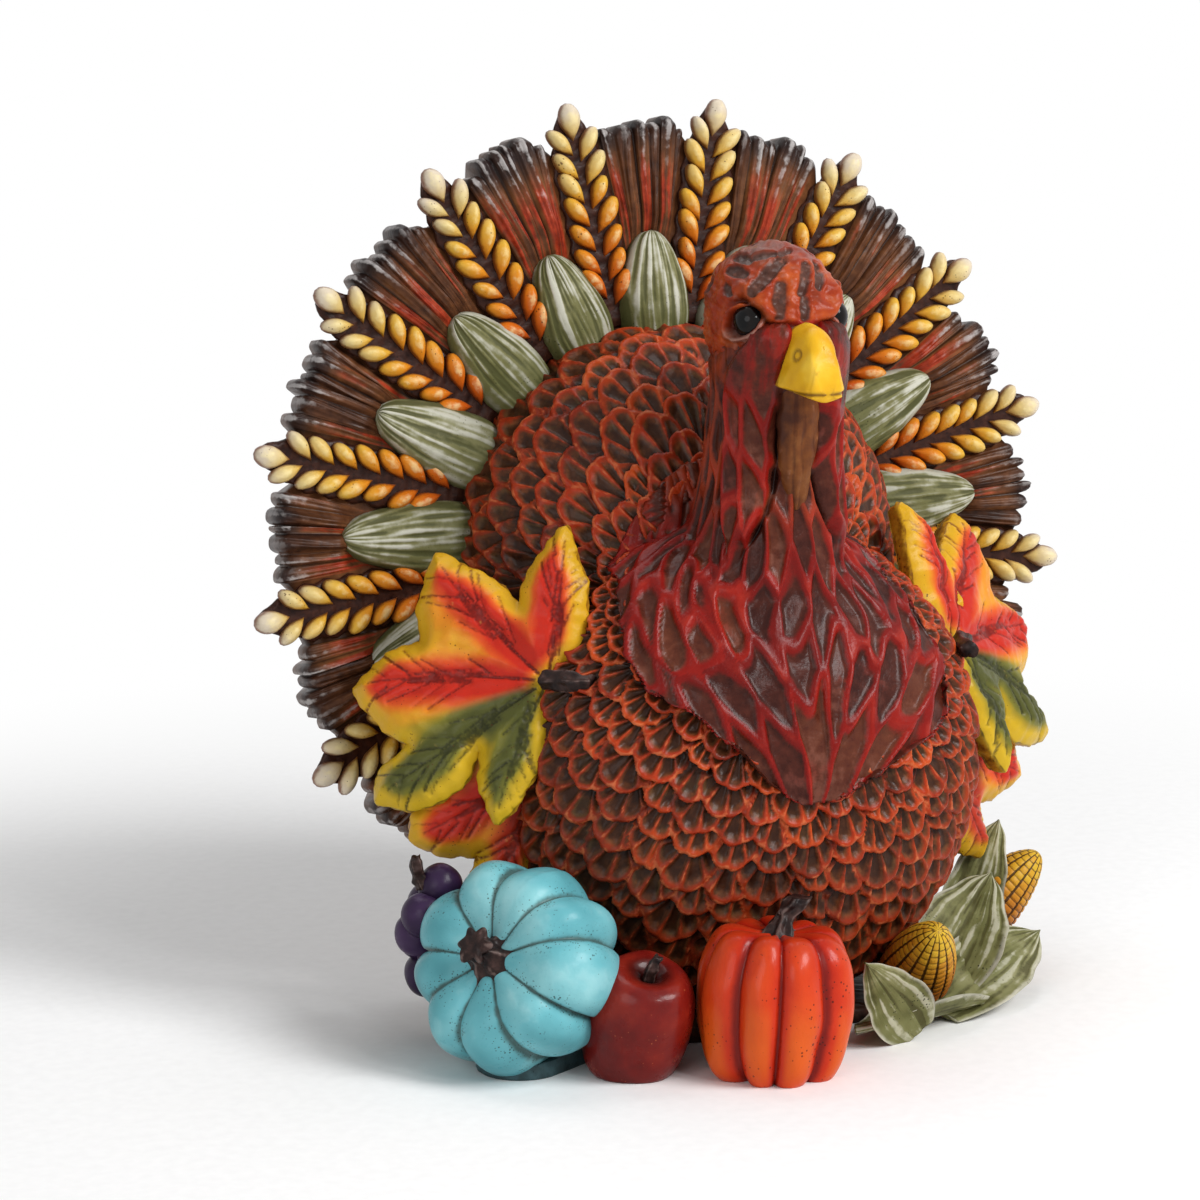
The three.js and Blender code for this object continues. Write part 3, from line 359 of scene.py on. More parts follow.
def bodyReach(origin, ways):
    dome = wayOut(origin, ways, body["domeCentre"], body["domeRadii"])
    breast = wayOut(origin, ways, body["breastCentre"], body["breastRadii"])
    power = body["blend"]
    return (dome**power + breast**power) ** (1 / power)


def turnedWays(axis, tilt, turn):  # directions at an angle from an axis, turned round it
    forward = unit(axis)
    side = np.array([1.0, 0, 0])
    up = np.cross(forward, side)
    across = np.cos(turn)[..., None] * side + np.sin(turn)[..., None] * up
    return np.cos(tilt)[..., None] * forward + np.sin(tilt)[..., None] * across


def chanceOf(a, b):  # a steady random number for a pair of counts
    mark = np.sin(a * 12.9898 + b * 78.233) * 43758.5453
    return mark - np.floor(mark)


def featherRow(j):  # the row's distance from the chest axis and how far its feathers are shifted round it
    middle = body["firstRow"] + j * body["rowStep"] / body["girth"]
    across = body["girth"] * np.sin(np.clip(middle, 0.1, 3.0))
    return across, np.where(j % 2 == 0, 0.0, 0.5) + 0.3 * np.sin(j * 2.4)


def oneFeather(row, turn, j, k, count):  # a rounded feather with a fan of scooped flutes inside its rim
    chance, other = chanceOf(j, k % count), chanceOf(j + 31, k % count)
    across, shift = featherRow(j)
    dx = (turn / (2 * math.pi) * count + shift - k) / count * 2 * math.pi * across + (other - 0.5) * 2.6
    dy = (row - j) * body["rowStep"] + (chance - 0.5) * 2.4
    radius = body["radius"] * (0.9 + 0.24 * other)
    flutes = np.where(chance < 0.4, 3, np.where(chance < 0.8, 4, 5))
    spread = np.where(flutes == 3, 0.54, np.where(flutes == 4, 0.44, 0.37))
    fan = np.arctan2(dx, np.maximum(dy + 3.8, 0.3)) / spread + (other - 0.5) * 0.7 + np.where(flutes % 2 == 0, 0.5, 0)
    ripple = np.cos(math.pi * (fan - np.round(fan)))  # 1 down the middle of a flute, 0 on a rib
    rim = radius * (0.94 + 0.06 * ripple)
    r = np.where(dy > 0, np.hypot(dx, dy), np.abs(dx))
    inner = smooth(np.hypot(dx, dy + 3.8), 1.0, 3.6)
    rise = np.clip((dy + 4.6) / (radius + 4.6), 0, 1)
    scoop = smooth(ripple, 0.0, 0.85) * smooth(rim - r, 0.5, 2.3) * inner * (0.45 + 0.55 * rise)
    bare = smooth(ripple, 0.08, 0.8) * smooth(rim - r, 0.6, 2.3) * inner
    height = body["lift"] * (rise**1.2 - 0.3 * (dx / radius) ** 2) - body["dent"] * scoop - 0.8 * smooth(r, rim - 1.1, rim)
    return r < rim, height, 1 - bare, chance, rise, other


def featherLook(tilt, turn):  # height, rib, tone and rise of the scalloped feathers
    row = (tilt - body["firstRow"]) * body["girth"] / body["rowStep"]
    looks = [np.zeros_like(tilt) for _ in range(4)]
    bare = np.ones(tilt.shape, bool)
    for ahead in (-2, -1, 0, 1):  # feathers nearer the neck lie on top
        j = np.floor(row) + ahead
        across, shift = featherRow(j)
        count = np.maximum(7, np.round(2 * math.pi * across / body["spacing"]))
        first = np.floor(turn / (2 * math.pi) * count + shift)
        pair = [oneFeather(row, turn, j, first + k, count) for k in (0, 1)]
        upper = pair[0][0] & (~pair[1][0] | (pair[0][5] > pair[1][5]))
        covered = bare & (pair[0][0] | pair[1][0] | (ahead == 1))
        for i, look in enumerate(looks):
            look[covered] = np.where(upper, pair[0][i + 1], pair[1][i + 1])[covered]
        bare &= ~covered
    return looks


def stopAtSeats(origin, ways, reach):  # the body ends flat at the fan and at the plinth
    facing = ways @ fanNormal
    gap = (np.asarray(origin) - fanCentre) @ fanNormal
    fanStop = np.where(facing < -1e-6, (glueGap - gap) / np.minimum(facing, -1e-6), np.inf)
    floorStop = np.where(ways[..., 2] < -1e-6, (tail["floor"] - origin[2]) / np.minimum(ways[..., 2], -1e-6), np.inf)
    return np.minimum(reach, np.minimum(fanStop, floorStop))


def makeBody(paint):
    tilts = np.concatenate([[0.2, 0.3], np.linspace(0.4, 2.2, body["rings"]), [2.3, 2.45, 2.65, 2.9, 3.05]])[::-1]
    turns = around(body["columns"])
    tilt, turn = np.meshgrid(tilts, turns, indexing="ij")
    ways = turnedWays(body["chestAxis"], tilt, turn)
    height, rib, tone, rise = featherLook(tilt, turn)
    core = np.array(body["core"], float)
    skirt = wayOut(core, ways, body["skirtCentre"], body["skirtRadii"])
    reach = (bodyReach(core, ways) ** 20 + skirt**20) ** (1 / 20)
    under = core + ways * reach[..., None]
    covered = edgeDistance(under[..., ::2].reshape(-1, 2), bib["outline"]).reshape(tilt.shape)
    height -= 5 * smooth(covered, 1.5, 4) * (under[..., 1] < bib["padBack"])  # no feathers under the bib
    points = core + ways * stopAtSeats(core, ways, reach + height - 0.6)[..., None]
    front = unit(body["chestAxis"])
    start = core + front * -stopAtSeats(core, -front[None], bodyReach(core, -front[None]))[0]
    end = core + front * bodyReach(core, front[None])[0]
    one = skin(points, start, end, relief=rib, tone=tone, along=(tilt - 0.3) / 2.6, edge=rise)
    makePiece("bodyFeathers", one, paint, "body_feathers", "body")


def bodyPaint():
    book = PaintBook("featherResin")
    rib, tone, rise = book.maps("relief", "tone", "edge")
    worn = book.noise(420, 4.0)
    patch = book.noise(70, 2.0)
    brown = book.ramp(worn * 0.6 + patch * 0.4, (0.32, "361b10"), (0.5, "57301b"), (0.66, "764527"))
    moss = book.step(book.noise(150, 3.0), 0.52, 0.68) * (1 - book.step(rib, 0.3, 0.8))
    brown = book.blend(moss * 0.5, brown, "57482c")
    # dark wash and painted shade down in the flutes
    deep = 1 - book.step(rib + (worn - 0.5) * 0.5, 0.0, 0.4)
    brown = book.blend(deep * 0.7, brown, "24130b")
    red = book.ramp(patch * 0.6 + tone * 0.4, (0.2, "7e2110"), (0.45, "a43012"), (0.75, "bb4718"))
    red = book.blend(book.step(book.map("along"), 0.34, 0.46) * 0.6, red, "7a2811")
    covered = book.step(rib + (worn - 0.5) * 0.9 + (patch - 0.5) * 1.0 + rise * 0.45, 0.74, 1.38)
    colour = book.blend(covered * 0.95, brown, red)
    # coral painted highlight along the rib tops, broken up like dry-brush
    crest = book.step(rib + (worn - 0.5) * 0.5, 0.9, 1.1) * book.step(worn + patch * 0.5, 0.66, 0.86)
    colour = book.blend(crest * 0.55, colour, "d47a4c")
    # dark wash and painted shade at each feather's root, under the rim of the row above
    washAndShade = 1 - book.step(rise + (worn - 0.5) * 0.15, 0.3, 0.6)
    colour = book.blend(washAndShade * 0.85, colour, "190d08")
    return book.done(colour, 0.22 + worn * 0.18, worn + book.noise(1100, 2.0) * 0.4, (0.03, 0.2))


# Tail fan: bundles of stick-like strands with flat brown valleys between them for the wheat
def onFan(points):  # fan points: across, up the fan, out of its front
    across, up, out = np.moveaxis(np.asarray(points, float), -1, 0)
    cos, sin = math.cos(tail["lean"]), math.sin(tail["lean"])
    return np.stack([across, up * sin - out * cos, tail["centreHeight"] + up * cos + out * sin], -1)


husk = {"rootRadius": 46, "reachTop": 76, "reachSide": 86, "width": 19, "height": 8, "groove": 0.5, "perSide": 5}


def huskReach(angle):
    return mix(husk["reachTop"], husk["reachSide"], np.sin(angle) ** 4)


def fanColumns():
    dice = np.random.default_rng(4)
    columns = []
    lean = np.linspace(-1, 1, tail["columnsPerBundle"])
    for feather in range(tail["perSide"], -tail["perSide"] - 1, -1):
        lie = 1.2 * math.sin(feather * tail["pitch"] / 2) ** 2
        full = mix(tail["reachTop"], tail["reachSide"], lie)
        count = tail["strands"]
        widths = dice.uniform(0.6, 1.5, count)
        stops = np.concatenate([[0], np.cumsum(widths) / widths.sum()]) * 2 - 1
        ends = full - tail["ragged"] * dice.uniform(0, 1, count) ** 1.3
        ends[[0, -1]] -= 1.5
        thick = dice.uniform(0.6, 1.0, count)
        thick[[0, -1]] *= 0.6
        shade = dice.uniform(0, 1, count)
        phase = dice.uniform(0, 6.3, count)
        peak = dice.uniform(-0.35, 0.35, count)
        for s in lean:
            k = min(int(np.searchsorted(stops, s, side="right")) - 1, count - 1)
            x = (s - stops[k]) / (stops[k + 1] - stops[k]) * 2 - 1
            columns.append((feather, -s, x, ends[k], thick[k], shade[k], phase[k], peak[k], 0))
        if feather > -tail["perSide"]:
            for q in np.linspace(0, 1, tail["columnsPerValley"] + 2)[1:-1]:
                columns.append((feather, q, 1.0, tail["valleyReach"], 0.0, 0.5, 0.0, 0.0, 1))
    return np.array(columns)


def makeTailFan(paint):
    feather, s, x, end, thick, shade, phase, peak, valley = fanColumns().T
    valley = valley > 0
    pitch = tail["pitch"]
    root = huskReach(feather * pitch) - 6

    def half(radius):
        return np.maximum(0.02, pitch / 2 - tail["valleyHalf"] / radius)

    def angleAt(radius, wander):
        inBundle = feather * pitch + (s + wander) * half(radius)
        inValley = (feather - s) * pitch + (1 - 2 * s) * -half(radius)
        return np.where(valley, inValley, inBundle)

    drop = tail["centreHeight"] - tail["floor"] - tail["thickness"] * math.sin(tail["lean"])
    floorLine = drop / math.cos(tail["lean"])
    last = tail["perSide"] * pitch + half(tail["valleyReach"])
    lowAngles = -last - (2 * math.pi - 2 * last) * np.linspace(0, 1, 50)[1:-1]
    toFloor = floorLine / np.maximum(-np.cos(lowAngles), 0.2)
    onFoot = (np.abs(np.tan(lowAngles)) * floorLine < tail["footHalfWidth"]) & (np.cos(lowAngles) < 0)
    lowReach = np.minimum(np.where(onFoot, toFloor, tail["lowerReach"]), toFloor)
    lows = np.zeros(len(lowAngles))
    reach = np.clip(1 - (np.abs(x - peak) / np.where(x > peak, 1 - peak, 1 + peak)) ** 1.25, 0, 1)
    ridge = np.where(valley, 0, reach**0.8)
    twin = np.where(valley, 0, np.clip(np.cos((x - peak) * 2.6 * math.pi), 0, 1) * (1 - reach))
    bundle = np.where(valley, 0, np.sqrt(np.clip(1 - 0.75 * s**6, 0, 1)))
    rings, crest, along, tones, edge = [], [], [], [], []

    def ring(share, front):
        rim = np.where(valley, end, end - 1.7 * np.abs(x) ** 3)
        start = np.minimum(root, rim - 5) if front else np.full_like(rim, 56.0)
        radius = mix(start, rim, share)
        wander = 0.06 * np.sin(radius / 8.5 + phase) * np.cos(x * math.pi / 2) * (~valley)
        grow = smooth(share, 0, 0.35) if front else smooth(radius, 62, 84)
        wave = 0.74 + 0.26 * np.sin(radius / 7.3 + phase * 2)
        roundEnd = np.sqrt(np.clip(1 - np.clip((share - 0.94) / 0.06, 0, 1) ** 2, 0.1, 1))
        if front:
            strand = 0.5 + 0.5 * ridge * wave + 0.16 * twin
            fine = 0.16 * np.sin(x * 11 + radius / 4 + phase) * (0.3 + ridge)
            height = np.where(valley, 0.0, (tail["relief"] * bundle * thick * strand + fine) * grow * roundEnd)
            height = height + valley * 0.15 * np.sin(radius * 1.9 + feather) * np.sin(s * 7)
        else:
            height = -tail["thickness"] - tail["backRelief"] * grow * bundle * (0.45 + 0.55 * ridge)
            height = mix(height, -0.62 * tail["thickness"], smooth(share, 0.93, 1))
        angle = np.concatenate([angleAt(radius, wander), lowAngles])
        rimLow = 0.62 if share > 0.98 else 1.0
        height = np.concatenate([height, lows if front else lows - tail["thickness"] * rimLow])
        radius = np.concatenate([radius, mix(np.minimum(54, lowReach), lowReach, share)])
        rings.append(np.stack([radius * np.sin(angle), radius * np.cos(angle), height], -1))
        crest.append(np.concatenate([np.clip(ridge + 0.5 * twin, 0, 1), lows]))
        along.append(np.clip((radius - 66) / 40, 0, 1))
        streak = shade + 0.2 * np.sin(radius[: len(s)] / 6 + phase) + 0.14 * np.sin(x * 5 + phase * 3)
        tones.append(np.concatenate([streak, lows + 0.5]))
        edge.append(np.concatenate([valley if front else np.full(len(s), 0.6), lows + 1]))

    for share in (0, 0.2, 0.35, 0.5, 0.62, 0.74, 0.84, 0.92, 0.97, 1):
        ring(share, False)
    for share in np.concatenate([[1, 0.992, 0.98, 0.965], np.linspace(0.94, 0, 26)]):
        ring(share, True)
    crest, along, tones, edge = (np.array(values, float) for values in (crest, along, tones, edge))
    ends = [(0, 0, -tail["thickness"]), (0, 0, 0)]
    one = skin(np.array(rings), *ends, relief=crest, along=along, tone=tones, edge=edge)
    makePiece("tailFan", moved(one, onFan), paint, "tail_feathers", "tail_fan")


def tailPaint():
    book = PaintBook("strandResin")
    crest, along, tone, strip = book.maps("relief", "along", "tone", "edge")
    worn = book.noise(380, 4.0)
    streak = book.noise(120, 3.0)
    base = book.ramp(worn * 0.6 + tone * 0.4, (0.2, "331c11"), (0.45, "583520"), (0.75, "7e5130"))
    mid = book.step(along, 0.05, 0.25) * (1 - book.step(along + (streak - 0.5) * 0.5, 0.5, 0.8))
    redShare = book.step(tone + (worn - 0.5) * 0.3, 0.56, 0.8) * book.step(crest, 0.35, 0.75) * mid * 0.85
    red = book.ramp(worn, (0.3, "741d0e"), (0.55, "a02e18"), (0.8, "ba4e2e"))
    colour = book.blend(redShare * (1 - strip), base, red)
    tipShare = book.step(along + (streak - 0.5) * 0.25 + (tone - 0.5) * 0.12, 0.68, 0.92) * (1 - strip)
    colour = book.blend(tipShare * 0.88, colour, "17161a")
    dry = book.step(crest + (worn - 0.5) * 1.1 + along * 0.45, 1.18, 1.44)
    dry = dry * book.step(along + (tone - 0.5) * 0.3, 0.55, 0.95)
    colour = book.blend(dry * (1 - strip) * 0.65, colour, "bfbab8")
    # painted shade in the grooves between the strands
    deep = (1 - book.step(crest, 0.05, 0.35)) * (1 - strip)
    colour = book.blend(deep * 0.8, colour, "160a06")
    colour = book.blend(book.specks(700, 0.06) * strip * 0.7, colour, "150b08")
    return book.done(colour, 0.22 + worn * 0.2, worn + streak * 0.5, (0.03, 0.2))


# Wheat ears: leaf-shaped kernels in pairs on a brown strip, a larger kernel at the tip
wheat = {
    "reach": 109.6,
    "root": 54,
    "paintFrom": 58,  # where the change of colour towards the tip begins
    "pairs": 7,
    "pitch": 6.0,
    "length": 9.6,
    "width": 4.1,
    "height": 4.2,
    "splay": math.radians(35),
    "tipLength": 9.6,
    "tipWidth": 5.6,
    "seat": 0.3,
    "stripHalf": 7.0,
    "stripHeight": 1.3,
}


def kernel(length, width, height, seed):
    count, sides = 15, 16
    a = ((np.arange(count) + 0.6) / (count + 0.2))[:, None]
    t = around(sides)
    full = np.where(a > 0.6, np.clip(1 - ((a - 0.6) / 0.42) ** 2, 0, 1) ** 0.6, np.sin(math.pi / 2 * a / 0.6) ** 1.2)
    across, up = np.sin(t), np.cos(t)
    lift = np.where(up > 0, np.abs(up) ** 0.8, 0.22 * up) + 0.1 * bump(across, 0.16) * (up > 0)
    dice = np.random.default_rng(seed)
    bow = dice.uniform(-0.25, 0.25)
    x = width / 2 * full * across + bow * np.sin(math.pi * a)
    rings = loft(x, a * length, 0.9 + (height - 0.9) * full**0.8 * lift + 0.5 * a)
    tone = 0.4 * dice.uniform(0, 1) + 0.6 * a
    return skin(rings, (0, 0, 0.9), (0, length, 1.4), relief=np.clip(up, 0, 1) * full**0.6, tone=tone)


def earShell(seed):
    kernels = []
    tipAt = wheat["reach"] - wheat["tipLength"]
    dice = np.random.default_rng(seed)

    def turned(one, at, angle):
        points = spun(one["points"], angle) + (*at, wheat["seat"])
        along = np.clip((points[:, 1] - wheat["paintFrom"]) / (wheat["reach"] - wheat["paintFrom"]), 0, 1)
        return {**one, "points": points, "along": along}

    tip = kernel(wheat["tipLength"], wheat["tipWidth"], wheat["height"], seed)
    kernels.append(turned(tip, (0, tipAt), dice.uniform(-0.06, 0.06)))
    for pair in range(wheat["pairs"]):
        for side in (1, -1):
            y = tipAt - 3.4 - pair * wheat["pitch"] - (side > 0) * 1.8
            size = dice.uniform(0.93, 1.07)
            angle = side * (wheat["splay"] + dice.uniform(-0.07, 0.07))
            one = kernel(wheat["length"] * size, wheat["width"] * size, wheat["height"], seed * 97 + pair * 2 + side)
            kernels.append(turned(one, (side * 0.7, y), angle))
    # the strip: a low slab with a wavy rim under the kernels
    y = np.linspace(wheat["root"], wheat["reach"] - 2.2, 44)[:, None]
    t = around(14)
    taper = np.sqrt(np.clip((wheat["reach"] - 1.2 - y) / 14, 0, 1))
    halfWidth = wheat["stripHalf"] * taper * (1 + 0.07 * np.sin(y * 2 * math.pi / wheat["pitch"] + seed))
    flat = np.clip(np.cos(t) * 2.2, 0, 1)
    z = wheat["seat"] + wheat["stripHeight"] * flat * (0.75 + 0.25 * np.sin(y * 1.7 + t * 3))
    rings = loft(halfWidth * np.sign(np.sin(t)) * np.abs(np.sin(t)) ** 0.6, y, z)
    ends = [(0, wheat["root"] - 0.5, 0.6), (0, wheat["reach"] - 1.6, 0.8)]
    strip = skin(rings, *ends, edge=1.0, along=np.clip((y - wheat["paintFrom"]) / 52, 0, 1), relief=0.3, tone=0.5)
    return joined(kernels + [strip])


def makeWheat(paint):
    for i in range(1, 13):
        angle = (i - 6.5) * tail["pitch"]
        one = moved(earShell(i), lambda points: onFan(spun(points, angle)))
        makePiece(f"wheatEar{i}", one, paint, "wheat", f"wheat_ear_{i}")


def wheatPaint():
    book = PaintBook("wheatResin")
    relief, along, tone, strip = book.maps("relief", "along", "tone", "edge")
    worn = book.noise(520, 3.0)
    patch = book.noise(170, 2.0)
    place = along + (tone - 0.5) * 0.3 + (patch - 0.5) * 0.2
    inner = ((0.0, "b84a14"), (0.2, "cd6a1a"), (0.42, "d68a24"))
    kernels = book.ramp(place, *inner, (0.62, "d9aa3e"), (0.82, "d6bd7c"), (1.0, "d2c4ae"))
    # painted highlight along the ridge of each kernel
    pale = book.step(relief + (worn - 0.5) * 0.9, 0.78, 1.1)
    colour = book.blend(pale * 0.5, kernels, "ecdca2")
    shade = 1 - book.step(relief + (worn - 0.5) * 0.5, 0.2, 0.7)
    colour = book.blend(shade * 0.85, colour, "6e3413")
    colour = book.blend(book.specks(900, 0.02) * 0.8, colour, "4a2411")
    brown = book.ramp(worn, (0.3, "24110c"), (0.6, "3c2016"), (0.85, "52301f"))
    brown = book.blend(book.specks(800, 0.05) * 0.8, brown, "120806")
    colour = book.blend(strip, colour, brown)
    return book.done(colour, 0.25 + worn * 0.16, worn + patch * 0.4, (0.03, 0.2))


# Husk feathers: grooved olive almonds in front of the strands
def streaks(across, along, seed):  # long fine grooves, 0 on a crest and 1 in a groove
    wide = lumps(np.stack([across, along * 0.06, 0 * across], -1), 2.6, seed)
    fine = lumps(np.stack([across, along * 0.08, 0 * across], -1), 1.1, seed + 1)
    return np.clip(0.5 + 0.3 * wide + 0.28 * fine, 0, 1)


def makeHuskFeathers(paint):
    for i in range(1, 12):
        angle = (i - 6) * tail["pitch"]
        count, sides = 60, 160
        s = ((np.arange(count) / count) ** 0.85 * 0.995)[:, None]
        t = around(sides)
        full = np.sqrt(np.clip(1 - s**2.7, 0, 1)) * mix(0.76, 1.0, smooth(s, 0.0, 0.36))
        reach = float(huskReach(angle))
        y = mix(husk["rootRadius"], reach, s)
        dice = np.random.default_rng(60 + i)
        wobble = dice.uniform(0, 6.3)
        halfWidth = husk["width"] / 2 * full * (1 + 0.02 * np.sin(y / 2.3 + wobble))
        height = husk["height"] * (0.45 + 0.55 * full)
        groove = streaks(np.sin(t) * 9.5 + 0 * y, y + 0 * t, 60 + i)
        top = np.maximum(0, np.cos(t)) ** 0.7
        rings = loft(halfWidth * np.sin(t), y, glueGap + top * (height - glueGap - husk["groove"] * groove))
        maps = {"relief": 1 - groove, "along": s, "tone": dice.uniform(0, 1), "edge": np.abs(np.sin(t)) ** 3}
        one = skin(rings, (0, husk["rootRadius"], 3), (0, reach, 2.6), **maps)
        one = moved(one, lambda points: onFan(spun(points, angle)))
        makePiece(f"huskFeather{i}", one, paint, "husk_feathers", f"husk_feather_{i}")


def huskPaint():
    book = PaintBook("oliveResin")
    relief, along, tone, rim = book.maps("relief", "along", "tone", "edge")
    worn = book.noise(420, 4.0)
    patch = book.noise(95, 2.0)
    olive = book.ramp(patch * 0.7 + tone * 0.3, (0.25, "5c5b32"), (0.5, "737148"), (0.75, "8a8864"))
    # painted shade down in the fine grooves
    recessShade = 1 - book.step(relief + (worn - 0.5) * 0.6, 0.1, 0.5)
    colour = book.blend(recessShade * 0.7, olive, "34361a")
    chalk = book.step(relief + (worn - 0.5) * 0.7 + (patch - 0.5) * 0.7 + along * 0.24, 0.6, 1.12)
    colour = book.blend(chalk * 0.78, colour, "d0cfc2")
    root = 1 - book.step(along + (patch - 0.5) * 0.4, 0.2, 0.6)
    colour = book.blend(root * 0.4, colour, "4a4d26")
    colour = book.blend(book.specks(1000, 0.05) * (root * 0.8 + 0.2), colour, "2a2815")
    # painted shade on the sides, where the husk turns down to the fan
    colour = book.blend(rim * 0.35, colour, "4a4a28")
    return book.done(colour, 0.45 + worn * 0.16, worn + relief * 0.3)


print("tail fan, wheat and husk feathers")
makeTailFan(tailPaint())
makeWheat(wheatPaint())
makeHuskFeathers(huskPaint())


def glide(x, knots, values):  # smooth curve through the given values
    knots, values = np.asarray(knots, float), np.asarray(values, float)
    slopes = np.gradient(values, knots)
    i = np.clip(np.searchsorted(knots, x, side="right") - 1, 0, len(knots) - 2)
    span = knots[i + 1] - knots[i]
    t = np.clip((x - knots[i]) / span, 0, 1)
    a = (1 + 2 * t) * (1 - t) ** 2 * values[i] + t * (1 - t) ** 2 * span * slopes[i]
    return a + t * t * (3 - 2 * t) * values[i + 1] + t * t * (t - 1) * span * slopes[i + 1]


def cellMaps(points, along, across, seeds, width, length):
    # long cells round scattered seeds: distance from the cell's border, the cell and the place along it
    first = np.full(points.shape[:-1], 9.0)
    second = np.full(points.shape[:-1], 9.0)
    which = np.zeros(points.shape[:-1], int)
    lengthwise = np.zeros(points.shape[:-1])
    for i, seed in enumerate(seeds):
        away = points - seed
        v = (away * along).sum(-1)
        u = (away * across).sum(-1)
        w = (away * away).sum(-1) - u**2 - v**2
        far = np.sqrt((u / width) ** 2 + (v / length) ** 2 + np.maximum(w, 0) / width**2)
        nearer = far < first
        second = np.where(nearer, first, np.minimum(second, far))
        lengthwise = np.where(nearer, v / length, lengthwise)
        which = np.where(nearer, i, which)
        first = np.where(nearer, far, first)
    return second - first, which, lengthwise


def gridNormals(points):
    down = np.gradient(points, axis=0)
    beside = np.roll(points, -1, 1) - np.roll(points, 1, 1)
    return unit(np.cross(down, beside) + 1e-9)


def edgeDistance(points, outline):  # signed distance to a closed outline, positive inside
    a = np.asarray(outline, float)
    b = np.roll(a, -1, 0)
    nearest = np.full(len(points), np.inf)
    inside = np.zeros(len(points), bool)
    for (ax, ay), (bx, by) in zip(a, b):
        dx, dy = bx - ax, by - ay
        px, py = points[:, 0] - ax, points[:, 1] - ay
        t = np.clip((px * dx + py * dy) / max(dx * dx + dy * dy, 1e-9), 0, 1)
        nearest = np.minimum(nearest, np.hypot(px - t * dx, py - t * dy))
        crossing = px < dx * py / (dy if abs(dy) > 1e-9 else 1e-9)
        inside ^= ((ay > points[:, 1]) != (by > points[:, 1])) & crossing
    return np.where(inside, nearest, -nearest)


def lineDistance(points, a, b):
    a, b = np.asarray(a, float), np.asarray(b, float)
    way = b - a
    t = np.clip(((points - a) @ way) / (way @ way), 0, 1)
    return np.linalg.norm(points - a - t[..., None] * way, axis=-1), t


def pathDistance(points, path):
    return np.min([lineDistance(points, a, b)[0] for a, b in zip(path, path[1:])], 0)


# Bib and neck: one casting that comes down from the cheeks and spreads over the breast in long feathers
bib = {
    "core": (0, -52, 108),
    "thickness": 5.4,
    "outline": [
        (15, 131), (24, 113), (33, 101), (38.5, 90), (38.5, 78), (31, 72.5), (22, 69), (13, 65.5), (6, 62.5), (-1, 59.5),
        (-7.5, 63), (-13.5, 67), (-20, 75), (-28.5, 83.5), (-36, 87), (-39, 96), (-36.5, 105), (-26, 120), (-15, 132),
    ],
    "heights": (92, 105, 118, 130, 141, 152, 161, 170),
    "halfWidths": (23.2, 20.6, 18, 15.5, 14.7, 14.5, 14.9, 14.4),
    "halfDepths": (25.5, 22.5, 19.7, 17, 16.4, 16.8, 17.9, 17.2),
    "middles": (-52, -53.5, -55, -56, -57, -57.8, -58.6, -59),
    "back": -38,
    "padBack": -44,  # the pad on the breast lies in front of this
    "topBack": 157,
    "topFront": 167.5,
    "foldHeights": (112, 118, 124, 132, 142, 152, 160, 168),
    "foldTurns": (47, 46, 45, 44, 44, 45, 38, 24),
    "foldHalves": (0.5, 8, 16, 23, 26, 28, 27, 18),
    "fold": 3.0,
    "lore": [(2.2, -76.4, 168.4), (7, -72.4, 164.4), (11, -68, 160.5), (14, -64, 154), (14, -64, 140)],  # red band
    "cellWidth": (3.3, 4.3),  # on the neck and on the breast
    "cellLength": (12.5, 18.5),
    "dent": 1.5,
    "columns": 400,
    "rows": 270,
}


def neckInside(points):
    z = points[..., 2]
    halfWidth = glide(z, bib["heights"], bib["halfWidths"])
    halfDepth = glide(z, bib["heights"], bib["halfDepths"])
    y = points[..., 1] - glide(z, bib["heights"], bib["middles"])
    halfDepth = np.where(y > 0, halfDepth * mix(1, 0.64, smooth(z, 136, 158)), halfDepth)
    top = mix(bib["topBack"], bib["topFront"], smooth(-points[..., 1], 42, 76))
    return ((points[..., 0] / halfWidth) ** 2 + (y / halfDepth) ** 2 < 1) & (z > 86) & (z < top)


def bibSurface():
    core = np.array(bib["core"], float)
    columns = bib["columns"]
    turns = around(columns)
    tilt, turn = np.meshgrid(np.linspace(0.02, 2.5, 760), turns, indexing="ij")
    ways = ball(tilt, turn)
    high = np.full(tilt.shape, 70.0)
    for step in np.linspace(2, 70, 69):  # first way out of the neck along each ray
        out = ~neckInside(core + ways * step)
        high = np.where(out & (high > 69), step, high)
    high = outermost(lambda reach: neckInside(core + ways * reach[..., None]), high - 1, high, 12)[1]
    onBody = bodyReach(core, ways)
    surface = core + ways * onBody[..., None]
    depth = edgeDistance(surface[..., ::2].reshape(-1, 2), bib["outline"]).reshape(tilt.shape)
    depth = np.where(surface[..., 1] < bib["padBack"], depth, np.minimum(depth, -3))
    pad = onBody + mix(-3.0, bib["thickness"], smooth(depth, -0.5, 2.6))
    reach = (np.maximum(high, 1) ** 14 + np.maximum(pad, 1) ** 14) ** (1 / 14)
    behind = ways[..., 1] > 0.01
    reach = np.where(behind, np.minimum(reach, (bib["back"] - core[1]) / np.maximum(ways[..., 1], 0.01)), reach)
    profile = core + ways * reach[..., None]
    walk = np.cumsum(np.linalg.norm(np.diff(profile, axis=0), axis=-1), 0)
    walk = np.concatenate([np.zeros((1, columns)), walk])
    points = np.zeros((bib["rows"], columns, 3))
    inset = np.zeros((bib["rows"], columns))
    for c in range(columns):  # even steps down each column
        at = np.linspace(0, walk[-1, c], bib["rows"])
        for k in range(3):
            points[:, c, k] = np.interp(at, walk[:, c], profile[:, c, k])
        inset[:, c] = np.interp(at, walk[:, c], depth[:, c])
    return points, inset


